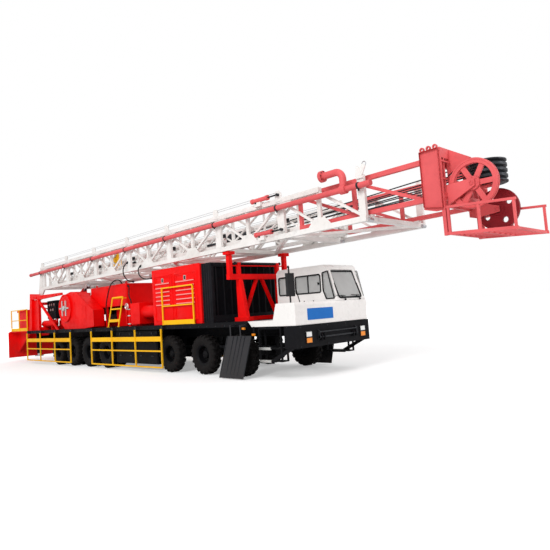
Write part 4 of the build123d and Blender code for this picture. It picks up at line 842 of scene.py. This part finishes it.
@on_mast(both=True, stay_lines="rod_steel")
def stay_lines(shape):
    """Thin stay lines stowed along the top of the mast, against the guide plates."""
    for z in (plate_top - 0.03, plate_top - 0.085):
        rod(shape, (stations[0] - 0.05, mast_half - 0.028, z),
            (stations[-2], mast_half - 0.028, z), 0.006, 6)


@on_mast("upper_mast", guide_pads="dark_iron", mast_pulley="rail_yellow")
def upper_parts(pads, pulley):
    """Dark guide pads along the lower chord, and the yellow pulley block."""
    for x in stations[1:-1]:
        box(pads, (x - 0.10, 1.009, 3.62), (x + 0.10, 1.06, 3.72))
    mirrored(pads)
    for rear, front, z in ((3.36, 3.97, 3.475), (5.00, 5.30, 3.50), (2.62, 2.86, 3.49),
                           (1.25, 1.45, 3.49), (-0.9, -0.7, 3.49)):
        box(pads, (rear, -1.042, z), (front, -1.009, z + 0.06))
    box(pulley, (-2.45, -0.96, 3.58), (-2.05, -0.80, 3.86))
    turned(pulley, ((-0.05, 0.03), (-0.05, 0.13), (-0.02, 0.10), (0.02, 0.10), (0.05, 0.13),
                    (0.05, 0.03)), (-2.25, -0.88, 3.92), 24)
    box(pulley, (-2.32, -0.91, 3.45), (-2.18, -0.85, 3.60))


@on_mast(post_lug="mast_white", post_ring="rod_steel")
def post_parts(lug, ring):
    """The lug on the mast's front post, and its ring."""
    plate(lug, at_side(((8.97, 4.20), (9.10, 4.20), (9.20, 4.39), (9.13, 4.44), (8.99, 4.32)),
                       -mast_half), (0, 0.03, 0), 0.012)
    turned(ring, ((-0.012, 0.05), (0.0, 0.038), (0.012, 0.05), (0.0, 0.062)),
           (9.165, -1.225, 4.43), 24)


@on_mast(both=True, floor_rollers="rod_steel")
def floor_rollers(shape):
    """Grey rollers at the ends of the front cross beams."""
    for x in stations[-2:]:
        rod(shape, (x + 0.075, 1.02, mast_low + 0.03), (x + 0.075, 1.16, mast_low + 0.03),
            0.045, 16)
        box(shape, (x + 0.055, 1.0, mast_low), (x + 0.095, 1.02, mast_low + 0.06))


# ---- Crown, standpipe and fast line ----

crown_rear, crown_front, crown_high = 10.35, 10.79, 4.385
fast_centre, fast_radius = Vector((11.285, -0.76, 3.577)), 0.48
sand_centre = Vector((11.235, 0.39, 3.185))
line_radius = 0.014


@on_mast("upper_mast", crown_trim="crown_red")
def crown_details(shape):
    """Bolts and stiffeners of the crown box, and the hub bolts of its sheaves."""
    band(shape, at_side(((crown_rear + 0.02, 3.26), (crown_rear + 0.02, crown_high - 0.02),
                         (crown_front - 0.02, crown_high - 0.02), (crown_front - 0.02, 3.19)),
                        1.009), 0.045, (0, 0.06, 0))
    for z in row(3.36, 0.15, 7):
        rod(shape, (crown_front - 0.04, 1.068, z), (crown_front - 0.04, 1.08, z), 0.012, 6)
    mirrored(shape)
    for z in (3.40, 3.75, 4.10):
        box(shape, (crown_front - 0.001, -0.985, z), (crown_front + 0.012, 0.985, z + 0.03))
    for centre, reach in ((fast_centre, 0.125), (sand_centre, 0.10)):
        for hand in (-1, 1):
            bolt_ring(shape, centre, 0.03, 6, hand * reach, hand * 0.014, 0.007)


def sheave_trim(shape, centre, radius, width):
    """The hub rings, bolts and rim lips that turn with a sheave."""
    for hand in (-1, 1):
        turned(shape, ((width - 0.002, 0.085), (width - 0.002, 0.135), (width + 0.012, 0.13),
                       (width + 0.012, 0.085)), centre, 24, hand)
        bolt_ring(shape, centre, 0.11, 8, hand * (width + 0.01), hand * 0.012, 0.011)
        turned(shape, ((width - 0.001, radius + 0.02), (width - 0.001, radius + 0.056),
                       (width + 0.008, radius + 0.05), (width + 0.008, radius + 0.026)),
               centre, 48, hand)


@on_mast("fast_sheave", fast_sheave_trim="crown_red")
def fast_sheave_trim(shape):
    """Trim of the spoked fast-line sheave."""
    sheave_trim(shape, fast_centre, 0.42, 0.045)


@on_mast("sand_sheave", sand_sheave_trim="dark_red")
def sand_sheave_trim(shape):
    """Trim of the holed sand-line sheave, in the dark red that paints the shade on it."""
    sheave_trim(shape, sand_centre, 0.36, 0.035)


@on_mast(nodes["standpipe"]["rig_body"], pipe_clamps="dark_iron")
def pipe_clamps(shape):
    """Dark clamps that hold the standpipe to its brackets, and the flange bolts of its elbow."""
    ring = ((-0.022, pipe_radius - 0.002), (-0.022, pipe_radius + 0.012),
            (0.022, pipe_radius + 0.012), (0.022, pipe_radius - 0.002))
    for x in stations:
        turned(shape, ring, (x, pipe_y, pipe_z), 20, axis=along_x)
        box(shape, (x - 0.016, pipe_y - 0.012, pipe_z - 0.115),
            (x + 0.016, pipe_y + 0.012, pipe_z - 0.07))
    bolt_ring(shape, (8.05, pipe_y, 4.39), 0.108, 8, -0.012, 0.102, 0.013, along_x)


@on_mast("upper_mast", fast_line="dark_iron")
def fast_line(shape):
    """The taut fast line from the top of the fast sheave back to the crown box."""
    route = [fast_centre + (fast_radius - 0.012) * around(turn) for turn in range(20, 129, 12)]
    route.append(Vector((crown_front + 0.002, fast_centre.y, 3.83)))
    for first, second in zip(route, route[1:]):
        rod(shape, first, second, line_radius, 8)


# ---- Deck and underside ----

deck_top, guard_y = 1.45, 1.43
axle_places = (4.886, 3.30, 1.61, -2.414, -3.801, -5.188, -6.576)
guard_rows = (
    # first post, last post, posts, height
    (-11.78, -9.78, 3, 1.00),
    (1.46, 3.06, 2, 1.15),
)
ladder_posts, ladder_foot, ladder_head, ladder_high = (-2.185, -1.45), 1.372, 1.16, 2.51


@pieces(deck_fittings="dark_iron")
def deck_details(shape):
    """Hooks of the hung rails, deck-edge bolts and platform treads."""
    for first, last in ((-9.53, -5.00), (-3.20, 1.48)):
        for x in row(first, (last - first) / 3, 4):
            box(shape, (x - 0.014, 1.45, 1.42), (x + 0.014, 1.535, 1.449))
            box(shape, (x - 0.044, 1.4485, 1.326), (x + 0.044, 1.5285, 1.424))
    for x in row(-9.6, 0.39, 38):
        box(shape, (x, 1.449, 1.345), (x + 0.03, 1.458, 1.375))
    mirrored(shape)
    for x in row(-12.0, 0.2, 11):
        box(shape, (x, -1.40, 1.4495), (x + 0.02, 1.40, 1.4565))


@pieces(both=True, deck_rails="rail_yellow")
def deck_rails(shape):
    """Yellow guards of square tube on the deck's edge, and the leaning ladders."""
    y = guard_y
    for first, last, posts, height in guard_rows:
        for x in row(first, (last - first) / (posts - 1), posts):
            bar(shape, (x, y, deck_top), (x, y, deck_top + height), 0.04, 0.04)
            box(shape, (x - 0.05, y - 0.02, deck_top), (x + 0.05, y + 0.02, deck_top + 0.012))
        for z in (deck_top + height - 0.02, deck_top + height / 2):
            bar(shape, (first - 0.02, y, z), (last + 0.02, y, z), 0.036, 0.036)
        box(shape, (first - 0.02, y - 0.006, deck_top + 0.003),
            (last + 0.02, y + 0.006, deck_top + 0.14))
    for x in ladder_posts:
        bar(shape, (x, ladder_foot, deck_top + 0.012), (x, ladder_head, ladder_high), 0.045, 0.03)
        box(shape, (x - 0.045, ladder_foot - 0.04, deck_top + 0.001),
            (x + 0.045, ladder_foot + 0.04, deck_top + 0.016))
    for rise, depth in ((0.215, 0.10), (0.60, 0.05), (0.985, 0.05)):
        y = ladder_foot + rise * (ladder_head - ladder_foot)
        z = deck_top + rise * (ladder_high - deck_top)
        bar(shape, (ladder_posts[0], y, z), (ladder_posts[1], y, z), depth, 0.026)
    for x in (ladder_posts[0], -1.80):
        bar(shape, (x, ladder_head, ladder_high - 0.04), (x, hood_face, ladder_high - 0.04),
            0.03, 0.03)
    round_edges(shape, 0.004)


@pieces(both=True, side_boxes="frame_black", side_box_handles="dark_iron")
def side_boxes(shape, handles):
    """Black tool boxes hung under the deck between the wheels, with doors and small handles."""
    for rear, front in ((-1.70, -0.40), (-0.36, 0.94)):
        box(shape, (rear, 0.72, 0.22), (front, 1.35, 1.29))
        band(shape, side_frame(rear + 0.05, front - 0.05, 0.27, 1.20, 1.349), 0.03,
             (0, 0.012, 0), 0.03)
        for x in (rear + 0.30, front - 0.30):
            box(handles, (x - 0.07, 1.348, 0.46), (x + 0.07, 1.372, 0.49))
            box(handles, (x - 0.02, 1.348, 1.16), (x + 0.02, 1.372, 1.24))


@pieces(air_tank="machine_red")
def air_tank(shape):
    """A red air tank with domed ends that lies on the deck inside the base frame."""
    turned(shape, ((-0.66, 0.012), (-0.65, 0.07), (-0.61, 0.125), (-0.56, 0.145), (0.56, 0.145),
                   (0.61, 0.125), (0.65, 0.07), (0.66, 0.012)), (-8.05, -1.08, 1.72), 28,
           axis=along_x)
    for x in (-8.42, -7.68):
        box(shape, (x - 0.03, -1.17, deck_top - 0.001), (x + 0.03, -0.99, 1.60))


@pieces(both=True, base_webs="machine_red")
def base_webs(shape):
    """Web plates between the posts of the base frame, each with a stiffened edge."""
    corners = ((-9.335, 1.452), (-8.638, 1.452), (-8.638, 2.80), (-9.30, 2.84))
    plate(shape, at_side(corners, 1.28), (0, 0.02, 0))
    band(shape, at_side(corners, 1.299), 0.06, (0, 0.016, 0))
    for z in (1.90, 2.36):
        box(shape, (-9.33, 1.299, z), (-8.64, 1.33, z + 0.02))


@pieces(rear_cabinet="core_black", rear_cabinet_frame="machine_red",
        rear_gauges="brushed_handle")
def rear_cabinet(dark, edge, gauges):
    """The dark control cabinet on legs beside the mast's foot, with a red frame and gauges."""
    low, high = Vector((-8.46, -1.00, 1.92)), Vector((-7.52, -0.74, 2.72))
    box(dark, low, high)
    round_edges(dark, 0.012, 2)
    for face, out in ((low.y + 0.001, -0.016), (high.y - 0.001, 0.016)):
        band(edge, side_frame(low.x + 0.01, high.x - 0.01, low.z + 0.01, high.z - 0.01, face),
             0.05, (0, out, 0))
    for x in (low.x + 0.05, high.x - 0.05):
        for y in (low.y + 0.05, high.y - 0.05):
            box(edge, (x - 0.025, y - 0.025, deck_top + 0.001),
                (x + 0.025, y + 0.025, low.z + 0.01))
    for x, z in ((-8.24, 2.54), (-8.00, 2.54), (-7.76, 2.54), (-8.12, 2.32), (-7.88, 2.32)):
        rod(gauges, (x, low.y + 0.004, z), (x, low.y - 0.012, z), 0.055, 20)


@pieces(rest_rod="dark_iron")
def front_rest_rod(shape):
    """The dark cross rod that lies on the front rest under the mast."""
    for start, end, radius, sides in ((-0.86, 0.86, 0.03, 16), (0.86, 0.89, 0.045, 12),
                                      (-0.86, -0.89, 0.045, 12)):
        rod(shape, (4.35, start, 3.07), (4.35, end, 3.07), radius, sides)


@pieces(both=True, spring_leaves="dark_iron")
def spring_leaves(shape):
    """Leaf packs and their clips over the plain springs of every axle."""
    y = 0.43
    for x in axle_places:
        for number in range(5):
            half = 0.50 - 0.085 * number
            z = 0.725 - 0.018 * number
            box(shape, (x - half, y - 0.042, z), (x + half, y + 0.042, z + 0.015))
        for clip in (x - 0.09, x + 0.09):
            box(shape, (clip - 0.012, y - 0.056, 0.60), (clip + 0.012, y + 0.056, 0.745))


@pieces(both=True, apron_folds="dark_iron")
def apron_folds(shape):
    """The folded ribs on each wheel apron's outside; their lighter metal finish paints highlight
    streaks along them.
    """
    for shift in (-0.46, -0.22, -0.06, 0.08, 0.22, 0.46):
        bar(shape, (4.956 + shift, 1.724, 0.12), (5.256 + shift, 1.66, 1.09), 0.022, 0.018)


# ---- Hoses ----

hose_table = (
    # name, body, radius, far end, route
    ("hose_mast_rear", "lower_mast", 0.019, "connector",
     ((-0.897, -1.222, 3.645), (-0.90, -1.33, 3.57), (-0.91, -1.40, 3.42), (-0.94, -1.38, 3.24),
      (-1.04, -1.24, 3.10), (-1.26, -1.00, 3.03), (-1.50, -0.77, 3.03), (-1.70, -0.59, 3.043))),
    ("hose_mast_front", "lower_mast", 0.019, "connector",
     ((-0.02, -1.236, 3.44), (0.0, -1.33, 3.38), (0.04, -1.39, 3.26), (0.09, -1.38, 3.12),
      (0.19, -1.34, 3.01), (0.36, -1.31, 2.96), (0.54, -1.29, 2.955), (0.72, -1.28, 2.965))),
    ("hose_hood_side", "carrier", 0.020, "object",
     ((-2.30, -0.70, 2.995), (-2.32, -0.72, 3.12), (-2.44, -0.85, 3.19), (-2.60, -0.98, 3.05),
      (-2.74, -1.01, 2.80), (-2.93, -1.01, 2.45), (-3.05, -1.00, 2.10), (-3.04, -0.98, 1.80),
      (-2.96, -0.96, 1.62), (-2.95, -0.96, 1.448))),
    ("hose_hood_front", "carrier", 0.020, "object",
     ((-1.772, -0.76, 2.90), (-1.66, -0.78, 2.88), (-1.56, -0.84, 2.75), (-1.45, -0.92, 2.58),
      (-1.26, -1.01, 2.44), (-1.05, -1.10, 2.40), (-0.91, -1.15, 2.32), (-0.895, -1.15, 2.168))),
)


def spline_length(curve):
    """The length of a curve's own line."""
    line = bpy.data.objects.new("measured", curve)
    mesh = bpy.data.meshes.new_from_object(line)
    run = sum((mesh.vertices[k + 1].co - mesh.vertices[k].co).length
              for k in range(len(mesh.vertices) - 1))
    bpy.data.objects.remove(line)
    bpy.data.meshes.remove(mesh)
    return run


def hose(name, body, radius, far_end, route):
    """A hydraulic hose between two fittings, hanging in the curve that the photograph shows."""
    curve = bpy.data.curves.new(name, "CURVE")
    curve.dimensions = "3D"
    line = curve.splines.new("NURBS")
    line.points.add(len(route) - 1)
    for point, place in zip(line.points, route):
        point.co = (*place, 1)
    line.order_u = 3
    line.use_endpoint_u = True
    line.resolution_u = 12
    length = spline_length(curve)
    curve.bevel_depth = radius
    curve.bevel_resolution = 3
    curve.use_fill_caps = True
    curve.materials.append(finishes["hose_rubber"])
    made = linked(name, curve)
    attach(made, body)
    fittings = bmesh.new()
    for end, beyond in ((route[0], route[1]), (route[-1], route[-2])):
        end, way = Vector(end), (Vector(beyond) - Vector(end)).normalized()
        rod(fittings, end - 0.03 * way, end + 0.06 * way, radius + 0.010, 12)
        rod(fittings, end - 0.02 * way, end + 0.025 * way, radius + 0.018, 6)
    carried = [finish_piece(name + "_fittings", fittings, "dark_iron", body)]
    if far_end == "connector":
        coupling = bmesh.new()
        rod(coupling, end - 0.02 * way, end - 0.07 * way, 0.032, 6)
        rod(coupling, end - 0.06 * way, end - 0.078 * way, 0.038, 16)
        carried.append(finish_piece(name + "_coupling", coupling, "valve_blue", body))


for entry in hose_table:
    hose(*entry)


# ---- Floor, light and camera ----

def pale_floor(place):
    """A pale floor that fades to white away from the rig, as the camera sees it."""
    away = added(place, "VectorMath", {0: place}, "Value", operation="LENGTH")
    camera_ray = added(place, "LightPath", {}, "Is Camera Ray")
    return {
        "Base Color": mixed(spread(noise(place, 0.4), 0.3, 0.7, 0.0, 1.0), (0.80, 0.80, 0.80),
                            (0.775, 0.775, 0.78)),
        "Roughness": 0.95, "Specular IOR Level": 0.1, "Emission Color": (1, 1, 1),
        "Emission Strength": worked("MULTIPLY", camera_ray, spread(away, 9.0, 34.0, 0.34, 1.0))}


view_limit = 400.0
floor_mesh = bmesh.new()
bmesh.ops.create_grid(floor_mesh, x_segments=1, y_segments=1, size=view_limit)
floor_data = bpy.data.meshes.new("floor")
floor_mesh.to_mesh(floor_data)
floor_mesh.free()
floor = linked("floor", floor_data)
floor_data.materials.append(make_finish("floor_pale", pale_floor))

world = bpy.data.worlds.new("studio")
bpy.context.scene.world = world
world.use_nodes = True
tree = world.node_tree
rays = tree.nodes.new("ShaderNodeLightPath").outputs
seen = worked("MAXIMUM", worked("MAXIMUM", rays["Is Camera Ray"], rays["Is Glossy Ray"]),
              rays["Is Transmission Ray"])
wire(tree, tree.nodes["Background"],
     {"Color": (1, 1, 1), "Strength": spread(seen, 0.0, 1.0, 0.62, 1.0)})


def soft_light(name, place, target, size, power):
    """A large square light that looks at a point."""
    lamp = bpy.data.lights.new(name, "AREA")
    lamp.shape = "SQUARE"
    lamp.size = size
    lamp.energy = power
    holder = linked(name, lamp)
    holder.location = place
    holder.rotation_euler = (Vector(target) - Vector(place)).to_track_quat("-Z", "Y").to_euler()


soft_light("key_light", (14, -34, 24), (0, 0, 2), 18, 10400)
soft_light("fill_light", (34, 12, 14), (3, 0, 2), 14, 3600)

lens = bpy.data.cameras.new("view")
lens.sensor_width = 36.0
lens.lens = 35.0
lens.clip_end = view_limit
camera = linked("view", lens)
view_right = Vector((0.7002988, 0.7109469, -0.0643129))
view_up = Vector((0.0901842, 0.0012587, 0.9959243))
view_back = view_right.cross(view_up)
camera.matrix_world = (Matrix.Translation((15.6542, -10.5600, 1.7261)) @
                       Matrix((view_right, view_up, view_back)).transposed().to_4x4())
bpy.context.scene.camera = camera
bpy.context.scene.view_settings.view_transform = "Standard"
